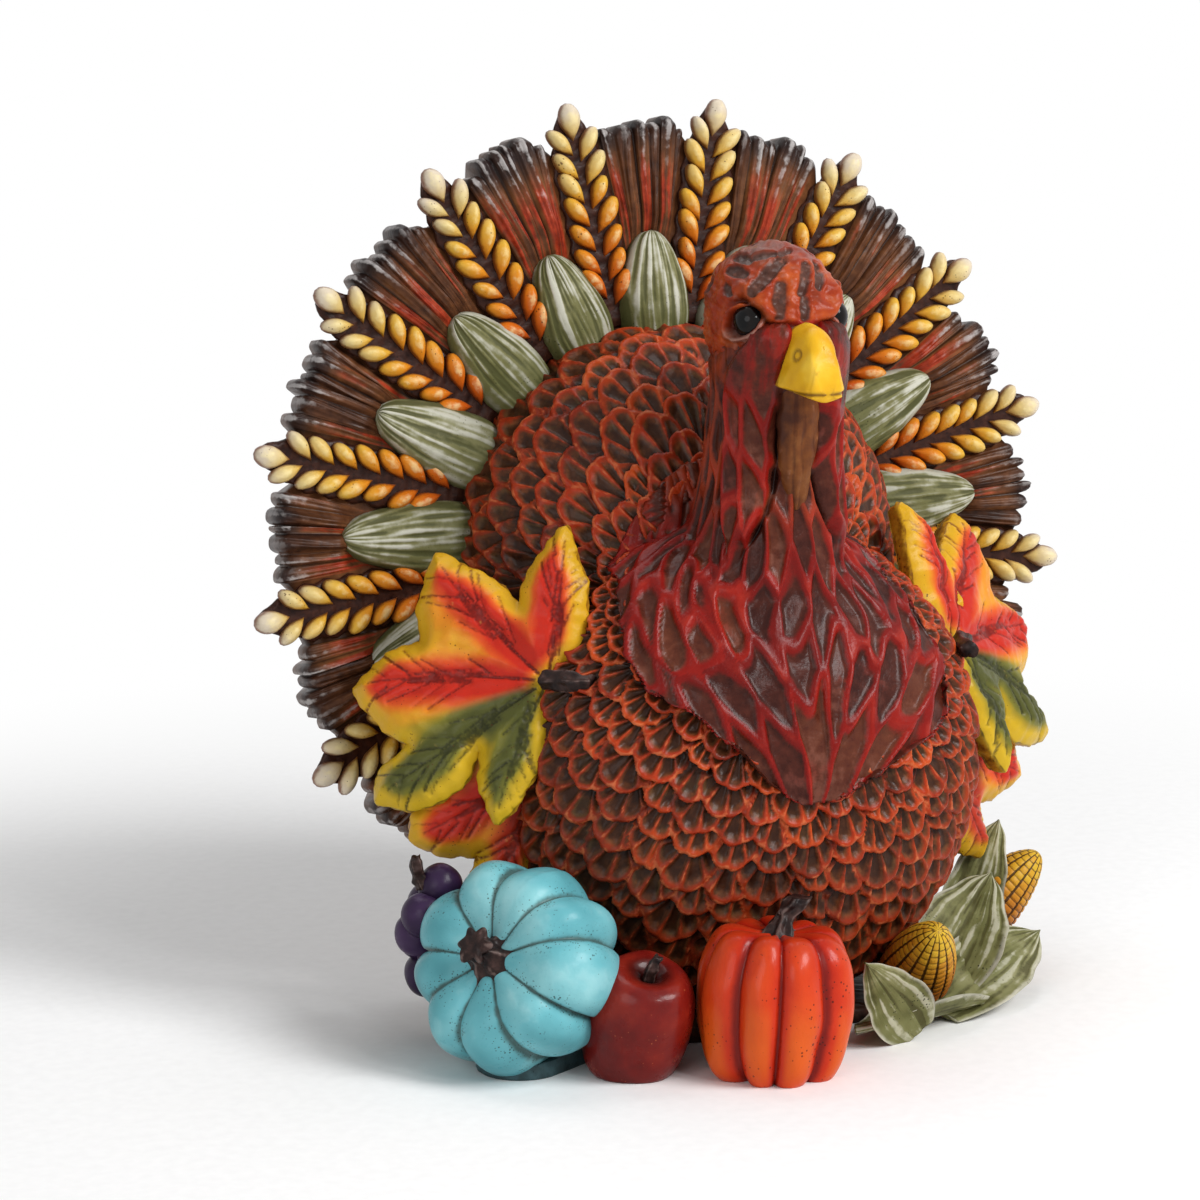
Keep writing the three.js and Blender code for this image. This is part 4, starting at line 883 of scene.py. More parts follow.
def cheekFold(points):  # 1 on the soft fold that hangs from each cheek beside the throat
    z = points[..., 2]
    y = points[..., 1] - glide(z, bib["heights"], bib["middles"])
    turn = np.degrees(np.arctan2(np.abs(points[..., 0]), -y))
    middle = glide(z, bib["foldHeights"], bib["foldTurns"])
    half = glide(z, bib["foldHeights"], bib["foldHalves"])
    return np.where(z > 113, 1 - np.abs(turn - middle) / np.maximum(half, 0.5), -1)


def makeBib(paint):
    points, inset = bibSurface()
    columns = bib["columns"]
    front = columns * 3 // 4  # the column down the middle of the breast
    normals = gridNormals(points)
    x, z = points[..., 0], points[..., 2]
    lean = np.clip((x + 2) / np.maximum(z - 50, 6), -1.2, 1.2)  # long feathers run together at the bib's tip
    flow = np.stack([-lean * smooth(z, 108, 84) + 0.16 * np.sin(z / 9 + x / 7), 0 * x, -1 + 0 * x], -1)
    along = unit(flow - normals * (flow * normals).sum(-1, keepdims=True))
    across = np.cross(normals, along)
    dice = np.random.default_rng(12)
    seeds = []
    walk = np.concatenate([[0], np.cumsum(np.linalg.norm(np.diff(points, axis=0), axis=-1)[:, front])])
    onBreast = smooth(z, 130, 102)
    width, length = mix(*bib["cellWidth"], onBreast), mix(*bib["cellLength"], onBreast)
    row, at = 0, 8.0
    while at < walk[-1]:
        i = min(int(np.searchsorted(walk, at)), bib["rows"] - 1)
        girth = np.linalg.norm(points[i] - np.roll(points[i], 1, 0), axis=-1)
        about = np.concatenate([[0], np.cumsum(girth)])
        count = max(6, int(about[-1] / (2 * width[i, front])))
        for k in range(count):
            c = np.searchsorted(about, (k + 0.5 * (row % 2) + dice.uniform(-0.16, 0.16)) / count * about[-1] % about[-1])
            r = np.clip(i + dice.integers(-5, 6), 0, bib["rows"] - 1)
            spot = points[r, int(c) % columns]
            if spot[1] < -39:
                seeds.append(spot)
        at += length[i, front]
        row += 1
    border, which, place = cellMaps(points, along, across, seeds, width, length)
    face = smooth(border, 0.0, 0.6)
    tones = dice.uniform(0, 1, len(seeds))[which]
    fold = cheekFold(points)
    onFace = smooth(z, 149, 158)
    deep = bib["dent"] * (0.7 + 0.6 * tones) * (1 - 0.2 * smooth(z, 112, 130)) * (1 - 0.85 * onFace)
    height = -deep * face + 0.55 * np.clip(place, -1, 1) * face + 0.2 * lumps(points, 9, 3)
    crease = bump(fold + 0.08, 0.13) * smooth(z, 113, 122) * (1 - onFace)
    height += bib["fold"] * smooth(fold, 0, 0.42) * smooth(z, 113, 124) - 1.4 * crease
    height = height * smooth(inset + 50 * (z > 120), -1, 3)
    points = points + normals * height[..., None]
    side = smooth(z, 116, 132) * (1 - smooth(fold, -0.05, 0.15))
    mirrored = points * (np.sign(x)[..., None] * (1, 0, 0) + (0, 1, 1))
    band = pathDistance(mirrored, bib["lore"])
    crimson = mix(0.16 + 0.3 * streaks(x * 1.2, z, 15), 0.85, 1 - smooth(band, 1.6, 3.6))
    ridge = mix(1 - smooth(border, 0.02, 0.5), crimson, onFace) - 0.9 * crease
    maps = {"relief": ridge, "tone": tones, "along": smooth(place, -0.6, 0.8), "edge": side}
    maps = {name: values[::-1] for name, values in maps.items()}
    one = skin(points[::-1], (0, -52, 62), points[0].mean(0), **maps)
    makePiece("bibAndNeck", one, paint, "bib", "bib_and_neck")


def bibPaint():
    book = PaintBook("crimsonResin")
    relief, tone, place, side = book.maps("relief", "tone", "along", "edge")
    worn = book.noise(380, 4.0)
    patch = book.noise(70, 2.0)
    brown = book.ramp(worn * 0.6 + tone * 0.4, (0.25, "32120c"), (0.5, "4a2016"), (0.8, "643421"))
    # pinkish dust, heavier towards each cell's lower end as a painted highlight
    dustAndHighlight = book.step(worn + place * 0.35, 0.66, 0.9) * book.step(patch + tone * 0.3, 0.5, 0.75)
    brown = book.blend(dustAndHighlight * 0.22, brown, "8f6054")
    red = book.ramp(patch * 0.7 + tone * 0.3, (0.2, "540b08"), (0.5, "7c130d"), (0.8, "982015"))
    red = book.blend(side * 0.75, red, book.ramp(patch, (0.35, "5a2c1a"), (0.6, "963c1e")))
    covered = book.step(relief + (worn - 0.5) * 0.7 + (patch - 0.5) * 1.4, 0.1, 0.7)
    colour = book.blend(covered, brown, red)
    # painted highlight along the ridge tops
    crest = book.step(relief + (worn - 0.5) * 0.4, 0.74, 0.96) * book.step(patch + worn * 0.3, 0.62, 0.82)
    colour = book.blend(crest * 0.4, colour, "aa3629")
    # near-black painted shade in the creases beside the cheek folds
    colour = book.blend((1 - book.step(relief, -0.4, -0.04)) * 0.85, colour, "190907")
    return book.done(colour, 0.2 + worn * 0.2, worn + book.noise(1000, 2.0) * 0.5, (0.04, 0.2))


# Head: a heavy crown with brown dabs over a creased brow, sunken eyes
head = {
    "centre": (0, -59, 169),
    "halfWidth": 15.4,
    "halfLength": 17.6,
    "up": 17.4,
    "down": 17.5,
    "eye": (10.3, -68.9, 170.4),
    "eyeRadius": 4.1,
    "brow": [(14.2, -61.5, 175.2), (12, -68, 177.6), (9.2, -72.6, 175.2), (8, -74.4, 172.4), (0, -77.2, 172)],
    "crease": [(14.4, -62, 172.8), (12.2, -68.3, 175.3), (9.3, -72.4, 172.6), (8.2, -74, 169.9), (2.7, -76.6, 169.4)],
    "lowerLid": [(13.6, -65, 167.2), (8.2, -75, 167)],
    "lore": [(2.2, -76.2, 168.4), (7, -72, 164.4), (11, -67.5, 160.5), (14, -63.5, 154)],  # red band to the neck
    "dabs": [  # the two ends of each brown dab and its half width
        ((-11.9, -61.2, 181), (-10.6, -66.1, 180.6), 1.5),
        ((-13.5, -62, 177.8), (-13.5, -65.4, 175.8), 1.4),
        ((-7.3, -70.4, 180.6), (-10.4, -70.4, 176.6), 1.6),
        ((-2.8, -68.9, 184.2), (-8.9, -70.7, 178.8), 2.0),
        ((-3.3, -66.2, 185.6), (-7.2, -64.6, 184.5), 1.4),
        ((-9.1, -58.1, 184.2), (-8.6, -64.2, 183.4), 1.4),
        ((-4.8, -73.3, 178.7), (-6.1, -75, 172), 1.8),
        ((1.2, -65, 186.2), (-1.6, -67, 185.6), 1.3),
        ((3.2, -70.4, 183), (-0.1, -75.1, 177.1), 1.6),
        ((7.4, -68, 182.8), (4.9, -73.4, 178.2), 1.6),
        ((0.3, -75.3, 175.6), (-0.3, -76.6, 171.6), 1.5),
        ((12, -66, 179.6), (10.6, -70.1, 176.6), 1.4),
        ((12.4, -58, 181), (13.6, -60.5, 177.6), 1.5),
        ((4.4, -60, 187), (7.4, -63, 185.2), 1.6),
        ((8.8, -56, 184.4), (8, -51.6, 183.4), 1.5),
        ((-4, -56, 187), (-4.6, -51.6, 185.4), 1.5),
        ((2, -50, 184.6), (1.4, -46.4, 181), 1.7),
        ((-8.6, -49.4, 180.4), (-8, -46.6, 176.6), 1.6),
        ((9.4, -48.6, 179.4), (8.6, -46, 175.6), 1.5),
        ((-13.4, -53.6, 178.6), (-13.6, -52.4, 174.6), 1.4),
        ((14, -55, 176.8), (13.8, -53.4, 173.2), 1.4),
    ],
}


def makeHead(paint):
    centre = np.array(head["centre"], float)
    tilts = np.linspace(math.pi - 0.06, 0.05, 230)
    turns = around(300)
    tilt, turn = np.meshgrid(tilts, turns, indexing="ij")
    ways = ball(tilt, turn)
    flat = (ways[..., 0] / head["halfWidth"]) ** 2 + (ways[..., 1] / head["halfLength"]) ** 2
    rise = np.abs(ways[..., 2]) / np.where(ways[..., 2] > 0, head["up"], head["down"])
    power = np.where(ways[..., 2] > 0, 2.08, 2.0)
    span = (np.zeros(tilt.shape), np.full(tilt.shape, 40.0))
    reach = outermost(lambda reach: flat * reach**2 + (rise * reach) ** power < 1, *span, 40)[0]
    points = centre + ways * reach[..., None]
    mirrored = points * (np.sign(points[..., :1]) * (1, 0, 0) + (0, 1, 1))
    atSide = smooth(mirrored[..., 0], 3, 6)
    toEye = mirrored - np.array(head["eye"])
    tipUp = toEye[..., 2] + 0.3 * toEye[..., 1]
    almond = np.hypot(toEye[..., 1] / 1.1, (tipUp + 0.2) / 0.95)
    brow, crease = pathDistance(mirrored, head["brow"]), pathDistance(mirrored, head["crease"])
    lower = pathDistance(mirrored, head["lowerLid"])
    front = smooth(-mirrored[..., 1], 63, 69)
    outer = 0.22 + 0.78 * smooth(mirrored[..., 0], 2, 8)  # the brow is strongest over the eyes
    height = (0.5 + 1.3 * front) * outer * bump(brow, 2.1) - 1.7 * outer * bump(crease, 0.9) * front
    height -= 1.7 * np.exp(-((almond / 3.3) ** 6)) * atSide
    lid = bump(almond - 3.9, 0.62) * atSide
    height += 1.0 * lid * (1 + 0.6 * smooth(tipUp, 0, 2.4))
    height += 0.8 * bump(lower, 2.2)
    height += 0.7 * smooth(points[..., 2], 172, 180)  # the crown stands over the brow
    dabs = np.zeros(tilt.shape)
    for a, b, half in head["dabs"]:
        away, place = lineDistance(points, *(centre + unit(np.array(end) - centre) * 17 for end in (a, b)))
        lengthwise = np.abs(place - 0.5) * 2
        dabs = np.maximum(dabs, 1 - smooth(away / half + 0.25 * lengthwise, 0.75, 1.35))
    crown = smooth(almond, 4.6, 5.6) * smooth(crease, 0.8, 1.6)
    dabs = dabs * crown
    height -= 0.9 * dabs
    height += 0.3 * lumps(points, 7, 8) + 0.14 * lumps(points, 2.6, 9)
    points = points + ways * height[..., None]
    # dark wash and painted shade in the brow crease and the eye sockets
    washAndShade = bump(crease, 0.8) * front + np.exp(-((almond / 3.3) ** 10)) * atSide
    under = np.maximum(bump(lower, 2.2), lid * smooth(-tipUp, -1, 1.5)) * atSide  # pale dust and painted highlight on the lower lid, below the eye
    red = 1 - smooth(pathDistance(mirrored, head["lore"]), 1.6, 3.4)
    tint = 0.5 + 0.5 * np.where(red > 0.3, -red, under)
    maps = {"relief": 1 - dabs, "tone": tint, "edge": np.clip(washAndShade, 0, 1), "along": (points[..., 2] - 149) / 40}
    one = skin(points, centre - (0, 0, head["down"]), centre + (0, 0, head["up"] + 1.2), **maps)
    makePiece("headOfBird", one, paint, "head", "head")


def headPaint():
    book = PaintBook("headResin")
    relief, tint, washAndShade, along = book.maps("relief", "tone", "edge", "along")
    worn = book.noise(430, 4.0)
    patch = book.noise(130, 3.0)
    red = book.ramp(patch, (0.3, "741f0e"), (0.5, "963416"), (0.7, "b04e1e"))
    stain = book.step(book.noise(95, 2.0), 0.5, 0.68)
    colour = book.blend(stain * 0.6, red, "5c2f19")
    dabs = 1 - book.step(relief + (worn - 0.5) * 0.9, 0.1, 0.9)
    colour = book.blend(dabs * 0.9, colour, book.ramp(worn, (0.3, "30201a"), (0.7, "4c3a32")))
    dry = book.step(worn + patch * 0.5, 0.84, 1.02)
    colour = book.blend(dry * 0.45, colour, "b4705c")
    dusk = book.step(along + (worn - 0.5) * 0.35, 0.8, 0.96)
    colour = book.blend(dusk * 0.4, colour, "63423c")
    throat = 1 - book.step(along + (worn - 0.5) * 0.12, 0.24, 0.44)
    colour = book.blend(throat * 0.8, colour, book.ramp(patch, (0.35, "4c170f"), (0.65, "74180f")))
    lore = 1 - book.step(tint + (worn - 0.5) * 0.12, 0.1, 0.4)
    colour = book.blend(lore * 0.85, colour, book.ramp(patch, (0.3, "760f0c"), (0.7, "98211a")))
    # pale dust and painted highlight on the lower lid
    pale = book.step(tint + (worn - 0.5) * 0.7, 0.74, 1.05)
    colour = book.blend(pale * 0.6, colour, "a98478")
    # dark wash and painted shade in the crease and the sockets
    colour = book.blend(washAndShade * 0.85, colour, "1c0d0a")
    return book.done(colour, 0.24 + worn * 0.16, worn + patch * 0.5, (0.04, 0.2))


# Beak: a deep yellow wedge, sharp along its ridge and broad at the jaw, with a blunt hooked end
beak = {
    "faceY": -75.5,
    "forward": (-8, 0, 4, 7.2, 9.4, 11.1, 12, 12.4),
    "top": (171, 170.5, 170.1, 169.2, 167, 163.6, 160, 156),
    "bottom": (154.2, 154, 153.8, 153.6, 153.4, 153.3, 153.5, 154.2),
    "halfJaw": (7.6, 7.6, 7.3, 6.6, 5.7, 4.6, 3.5, 1.8),
    "ridge": (0.5, 0.45, 0.4, 0.4, 0.46, 0.55, 0.62, 0.7),
    "mouth": 155.2,
    "nostril": (5.4, 163.6),
}


def makeBeak(paint):
    f = np.concatenate([np.linspace(-8, 9, 44), np.linspace(9, 12.4, 31)[1:]])[:, None]
    t = around(110)
    top, bottom, jaw, ridge = (glide(f, beak["forward"], beak[k]) for k in ("top", "bottom", "halfJaw", "ridge"))
    h = (1 + np.sin(t)) / 2
    belly = smooth(h, -0.02, 0.16) ** 0.6
    width = jaw * belly * mix(1.0, ridge, h**1.25) * np.sqrt(np.clip(1 - (np.clip(h - 0.8, 0, 1) / 0.2) ** 2, 0, 1))
    x = width * np.sign(np.cos(t)) * np.minimum(np.abs(np.cos(t)) * 6, 1)
    rings = loft(x, beak["faceY"] - f - 0.5 * np.sin(h * 3), mix(bottom, top, h))
    mouth = bump(rings[..., 2] - beak["mouth"], 0.45) * smooth(f, -1, 3)
    nostril = np.hypot(f - beak["nostril"][0], rings[..., 2] - beak["nostril"][1])
    pit = bump(nostril - 1.15, 0.42) * (np.abs(rings[..., 0]) > 1)
    face = bump(f - 0.6, 1.1)  # browner where it meets the face
    rings[..., 0] += np.sign(rings[..., 0]) * (-0.7 * mouth - 0.4 * pit + 0.14 * lumps(rings, 5, 31))
    ends = [(0, beak["faceY"] + 8.2, 164), (0, beak["faceY"] - 12.7, 155.2)]
    one = skin(rings, *ends, edge=np.clip(mouth + pit * 0.8, 0, 1), tone=face)
    makePiece("beakPiece", one, paint, "beak", "beak")


def beakPaint():
    book = PaintBook("beakResin")
    recessShade, face = book.maps("edge", "tone")
    worn = book.noise(300, 4.0)
    patch = book.noise(110, 2.0)
    yellow = book.ramp(patch, (0.3, "cc9214"), (0.5, "dfab22"), (0.7, "ebc345"))
    colour = book.blend(book.step(face + (worn - 0.5) * 0.8, 0.5, 0.9) * 0.7, yellow, "8a4f16")
    colour = book.blend(book.step(worn, 0.64, 0.78) * 0.4, colour, "8a571b")
    # painted shade in the mouth line and the nostril pits
    colour = book.blend(recessShade * 0.85, colour, "4a2810")
    return book.done(colour, 0.28 + worn * 0.14, worn + patch * 0.6, (0.06, 0.16))


# Wattle: a flat flap from the chin down the throat
wattle = {
    "top": (0.4, -72.2, 157),
    "way": (0, 0.03, -1),
    "length": 31,
    "width": 10.4,
    "depth": 3.2,
    "knots": (0, 0.35, 0.7, 0.93, 1),  # shares of the length
    "halves": (1, 1, 0.78, 0.4, 0.15),
    "depths": (1, 1, 0.9, 0.7, 0.5),
}


def makeWattle(paint):
    s = np.linspace(0, 0.985, 50)[:, None]
    t = around(44)
    half = glide(s, wattle["knots"], wattle["halves"]) * wattle["width"] / 2
    deep = glide(s, wattle["knots"], wattle["depths"]) * wattle["depth"]
    rings = loft(half * np.cos(t), deep * np.sin(t), s * wattle["length"])
    fold = bump(np.abs(rings[..., 0] - 0.8) - 1.2, 0.7) + 0.4 * bump(rings[..., 0] + 3.6, 0.6)
    fold = np.clip(0.7 * fold + 0.8 * streaks(rings[..., 0], rings[..., 2], 44) - 0.2, 0, 1)
    ways = unit(rings * (1, 1, 0) + 1e-9)
    rings = rings + ways * (-0.45 * fold + 0.25 * lumps(rings, 6, 41))[..., None]
    one = skin(rings, (0, 0, -0.2), (0, 0, wattle["length"]), relief=1 - fold)
    makePiece("throatWattle", moved(one, axesAt(wattle["top"], wattle["way"], (0, 1, 0))), paint, "bib", "wattle")


def wattlePaint():
    book = PaintBook("wattleResin")
    relief = book.map("relief")
    worn = book.noise(350, 4.0)
    patch = book.noise(90, 2.0)
    colour = book.ramp(patch + (worn - 0.5) * 0.4, (0.3, "46261a"), (0.5, "6a3c1d"), (0.72, "85552c"))
    # painted shade down in the folds
    colour = book.blend((1 - book.step(relief + (worn - 0.5) * 0.5, 0.05, 0.5)) * 0.55, colour, "3a1a10")
    colour = book.blend(book.step(worn + relief * 0.2, 0.76, 0.98) * 0.4, colour, "a97c6c")
    return book.done(colour, 0.32 + worn * 0.16, worn)


def makeEyes(paint):
    radius = head["eyeRadius"]
    tilt = np.linspace(math.pi - 0.1, 0.03, 22)[:, None]
    rings = ball(tilt, around(32)) * (radius, radius, radius * 0.96)
    one = skin(rings, (0, 0, -radius), (0, 0, radius * 0.96), edge=tilt / math.pi)
    for label, side in (("left", -1), ("right", 1)):
        place = axesAt(np.array(head["eye"]) * (side, 1, 1), (side, -0.35, 0.05), (0, 0, 1))
        makePiece(f"eye{label.capitalize()}", moved(one, place), paint, "eyes", f"eye_{label}")


def eyePaint():
    book = PaintBook("eyeGloss")
    rim = book.map("edge")
    worn = book.noise(500, 2.0)
    colour = book.ramp(rim + (worn - 0.5) * 0.1, (0.16, "050506"), (0.24, "120c0a"), (0.4, "080606"))
    return book.done(colour, 0.1 + worn * 0.06, worn * 0.1, (0.08, 0.04))


print("body feathers, bib, neck and head")
makeBody(bodyPaint())
makeBib(bibPaint())
makeHead(headPaint())
makeBeak(beakPaint())
makeWattle(wattlePaint())
makeEyes(eyePaint())


# Maple leaves: thick castings with domed lobes, scratched veins and pitted side walls
leaf = {
    "lobes": [  # rise, before the tip, tip, after the tip, notch
        [(11, 10), (9, 20), (0, 37), (-9, 30), (-9.5, 18)],
        [(-14, 22), (-24, 27), (-32, 28.5), (-36, 16), (-33, 7)],
        [(-38, 6), (-44, 2), (-48, -5), (-42, -15), (-32, -17)],
        [(-38, -22), (-41, -26), (-38.5, -32), (-18, -35), (-15, -17)],
        [(-14, -24), (-13, -31), (-8, -34), (4, -22), (0, 0)],
    ],
    "thickness": 7,
    "upper": {"size": 1.0, "reach": (0.94, -0.32, 0.09), "face": (0.635, -0.683, 0.362), "sink": 3.7, "roll": 0},
    "lower": {"size": 0.86, "reach": (0.9, -0.3, -0.25), "face": (0.42, -0.9, 0.05), "sink": 15.1, "roll": -24},
    "grid": 0.55,
    "veinDepth": 0.75,
}


def outwardOf(loop):  # sideways from each point of a closed line
    along = np.roll(loop, -1, 0) - np.roll(loop, 1, 0)
    return np.stack([along[:, 1], -along[:, 0]], -1) / (np.linalg.norm(along, axis=1)[:, None] + 1e-9)


def leafOutline(size, seed):
    points = []
    start = np.zeros(2)
    for rise, before, tip, after, notch in leaf["lobes"]:
        rise, before, tip, after, notch = (np.array(p, float) for p in (rise, before, tip, after, notch))
        for t in np.linspace(0, 1, 34)[:-1]:
            points.append(start * (1 - t) ** 3 + 3 * rise * t * (1 - t) ** 2 + 3 * before * t * t * (1 - t) + tip * t**3)
        for t in np.linspace(0, 1, 30)[:-1]:
            points.append(tip * (1 - t) ** 2 + 2 * after * t * (1 - t) + notch * t * t)
        start = notch
    points = np.array(points) * size
    gaps = np.linalg.norm(np.roll(points, -1, 0) - points, axis=1)
    walk = np.concatenate([[0], np.cumsum(gaps)])
    closed = np.vstack([points, points[:1]])
    even = np.linspace(0, walk[-1], int(walk[-1] / 0.8))[:-1]
    points = np.stack([np.interp(even, walk, closed[:, k]) for k in (0, 1)], -1)
    walkShare = even / walk[-1] * 2 * math.pi
    nibble = 0.24 * np.sin(walkShare * 17 + seed) + 0.16 * np.sin(walkShare * 31 + 2 * seed) + 0.1 * np.sin(walkShare * 61)
    return points + outwardOf(points) * nibble[:, None]


def leafVeins(size, seed):
    dice = np.random.default_rng(seed)
    veins = []
    for lobe in leaf["lobes"]:
        tip = np.array(lobe[2], float) * size
        length = np.linalg.norm(tip)
        way = tip / length
        across = np.array([-way[1], way[0]])
        bow = dice.uniform(-0.05, 0.05) * length
        main = [way * length * t + across * bow * math.sin(math.pi * t) for t in np.linspace(0.06, 0.9, 9)]
        veins += [(main[i], main[i + 1], 1.0 - 0.05 * i) for i in range(8)]
        for side in (-1.9, -1, 1, 1.8):  # long scratches beside the middle vein
            first = dice.integers(1, 4)
            spread = [main[first + i] + across * side * (0.85 - 0.12 * i) for i in range(4)]
            veins += [(a, b, 0.75) for a, b in zip(spread, spread[1:])]
        for at, side in ((2, -1), (3, 1), (4, -1), (4, 1), (5, 1), (5, -1), (6, 1), (6, -1), (7, 1), (7, -1)):
            branch = length * dice.uniform(0.13, 0.3)
            turn = side * dice.uniform(0.3, 0.75)
            ahead = way * math.cos(turn) + across * math.sin(turn)
            start = main[at] + across * side * dice.uniform(0, 2)
            veins.append((start, start + ahead * branch, dice.uniform(0.5, 0.85)))
    return veins


def lobeGaps(flat, size):  # distance to each lobe's middle line
    tips = [np.array(lobe[2]) * size for lobe in leaf["lobes"]]
    return np.array([lineDistance(flat, tip * 0.16, tip * 0.8)[0] for tip in tips])


def leafShell(size, seed, mirrored):
    outline = leafOutline(size, seed)
    rim = len(outline)
    lowest, highest = outline.min(0), outline.max(0)
    dice = np.random.default_rng(seed)
    spans = [np.arange(lowest[k], highest[k], leaf["grid"]) for k in (0, 1)]
    grid = np.stack(np.meshgrid(*spans), -1).reshape(-1, 2)
    grid = grid + dice.uniform(-0.16, 0.16, grid.shape)
    grid = grid[edgeDistance(grid, outline) > 0.5]
    flat = [Vector(p) for p in np.vstack([outline, grid])]
    found = geometry.delaunay_2d_cdt(flat, [], [list(range(rim))], 1, 1e-5)
    flat = np.array([list(p) for p in found[0]])
    order = {}
    for index, source in enumerate(found[3]):
        for one in source:
            order[one] = index
    loop = [order[i] for i in range(rim)]
    inset = np.maximum(edgeDistance(flat, outline), 0)
    inset[loop] = 0
    groove = np.zeros(len(flat))
    veinNear = np.full(len(flat), 99.0)
    for a, b, weight in leafVeins(size, seed):
        gap, _ = lineDistance(flat, a, b)
        groove = np.maximum(groove, weight * bump(gap, 0.45))
        if weight > 0.86:
            veinNear = np.minimum(veinNear, gap)
    deep = np.stack([flat[:, 0], flat[:, 1], np.zeros(len(flat))], -1)
    front = 1.3 * smooth(inset, 0, 5) + 1.5 * smooth(veinNear, 0, 7) * smooth(inset, 0, 6) - 1.3 * np.exp(-inset / 0.7)
    front += 0.35 * lumps(deep, 13, seed) + 0.1 * lumps(deep, 4, seed + 1) - leaf["veinDepth"] * groove - 1.6
    tips = np.linalg.norm(flat, axis=1) / (40 * size)
    front += 1.2 * np.clip(tips - 0.35, 0, 1) ** 2 * math.copysign(1, seed % 2 - 0.5)
    gaps = lobeGaps(flat, size)
    green = smooth(gaps[:3].min(0) - gaps[3:].min(0), -2.5, 2.5)
    heat = smooth(inset, 0.3, 6) * (1 - 0.72 * smooth(gaps.min(0), 1.5, 8.5))
    top = np.column_stack([flat, front])
    triangles = [list(face) for face in found[2]]
    count = len(flat)
    points = [top]
    faces = list(triangles)
    reliefs, hearts, greens = [1 - groove], [heat], [green]
    wallMaps = [np.zeros(count)]
    previous = loop
    middle = flat[loop]
    outward = outwardOf(middle)
    offset = count
    area = 0.5 * np.sum(middle[:, 0] * np.roll(middle[:, 1], -1) - np.roll(middle[:, 0], -1) * middle[:, 1])
    spin = 1 if area > 0 else -1

    def wall(upper, lower):
        for i in range(rim):
            k = (i + 1) % rim
            quad = [upper[i], lower[i], lower[k], upper[k]]
            faces.append(quad if spin > 0 else quad[::-1])

    for level, push in ((0.1, 0.32), (0.3, 0.3), (0.5, -0.1), (0.72, -0.5), (0.9, -1.0)):
        pit = 0.28 * np.sin(np.arange(rim) * 0.9 + level * 31) * np.sin(np.arange(rim) * 0.37 + level * 17)
        ring = middle + outward * spin * (push + pit)[:, None]
        z = mix(front[loop], -leaf["thickness"], level)
        points.append(np.column_stack([ring, z]))
        current = list(range(offset, offset + rim))
        wall(previous, current)
        offset += rim
        previous = current
        reliefs.append(0.5 + pit)
        hearts.append(np.zeros(rim))
        greens.append(green[loop])
        wallMaps.append(np.full(rim, smooth(level, 0.05, 0.35)))
    back = np.column_stack([flat, np.full(count, -leaf["thickness"]) + 0.25 * lumps(deep, 9, seed + 5)])
    back[loop, :2] -= outward * spin * 1.4
    points.append(back)
    faces += [[i + offset for i in face[::-1]] for face in triangles]
    wall(previous, [i + offset for i in loop])
    reliefs.append(np.full(count, 0.7))
    hearts.append(heat)
    greens.append(green)
    wallMaps.append(np.ones(count))
    points = np.vstack(points)
    if mirrored:
        points = points * (-1, 1, 1)
        faces = [face[::-1] for face in faces]
    maps = {"relief": reliefs, "along": hearts, "tone": greens, "edge": wallMaps}
    return shell(points, faces, **{name: np.concatenate(values) for name, values in maps.items()})


def leafPlace(level, side):
    spot = leaf[level]
    reach = unit(np.array(spot["reach"])) * (side, 1, 1)
    core = np.array(body["core"], float)
    joint = core + reach * (bodyReach(core, reach[None])[0] + leaf["thickness"] - spot["sink"])
    face = np.array(spot["face"]) * (side, 1, 1)
    local = axesAt(joint, face, (0, 0, 1))
    return joint, (lambda points: local(spun(points, -side * math.radians(spot["roll"]))))


def makeLeaves(paint, lowerPaint, stemPaint):
    for label, side in (("left", -1), ("right", 1)):
        for level in ("upper", "lower"):
            seed = 3 + (side > 0) * 2 + (level == "lower") * 4
            one = leafShell(leaf[level]["size"], seed, side > 0)
            place = leafPlace(level, side)[1]
            name = f"{label}{level.capitalize()}Leaf"
            makePiece(name, moved(one, place), paint if level == "upper" else lowerPaint, "leaves", f"{label}_{level}_leaf")
        joint = leafPlace("upper", side)[0]
        away = unit(np.array([-side * 0.5, -0.86, 0.04]))
        one = twig(12, 2.3, 70 + side, 26, 22)
        place = axesAt(joint + away * glueGap, away, (0, 0, 1))
        makePiece(f"{label}LeafStem", moved(one, place), stemPaint, "stems", f"{label}_leaf_stem")


def leafPaint(name, greenShare):
    book = PaintBook(name)
    relief, heart, green, wall = book.maps("relief", "along", "tone", "edge")
    worn = book.noise(420, 4.0)
    patch = book.noise(75, 2.0)
    heat = heart + (patch - 0.5) * 0.4 + (worn - 0.5) * 0.15
    warm = book.ramp(heat, (0.05, "cf9f20"), (0.24, "d99a26"), (0.4, "d87e24"), (0.6, "d25524"), (0.9, "bb2a1b"))
    cool = book.ramp(heat, (0.05, "c9a524"), (0.24, "a98f24"), (0.5, "74702a"), (0.85, "4d4f24"))
    colour = book.blend(green * greenShare, warm, cool)
    vein = 1 - book.step(relief + (worn - 0.5) * 0.5, 0.2, 0.8)
    veinInk = book.blend(green * greenShare, "5e120d", "26280f")
    colour = book.blend(vein * 0.85, colour, veinInk)
    glow = book.step(worn, 0.62, 0.8) * book.step(patch, 0.5, 0.62)
    colour = book.blend(glow * 0.35, colour, "efc36a")
    colour = book.blend(book.specks(900, 0.015) * 0.8, colour, "4a1d0e")
    side = book.ramp(worn, (0.3, "6b3f16"), (0.5, "ad7a20"), (0.7, "cc9d2d"))
    side = book.blend(book.specks(700, 0.09) * 0.85, side, "3a210f")
    colour = book.blend(wall, colour, side)
    return book.done(colour, 0.24 + worn * 0.16, worn + wall * book.noise(700, 3.0), (0.03, 0.18))


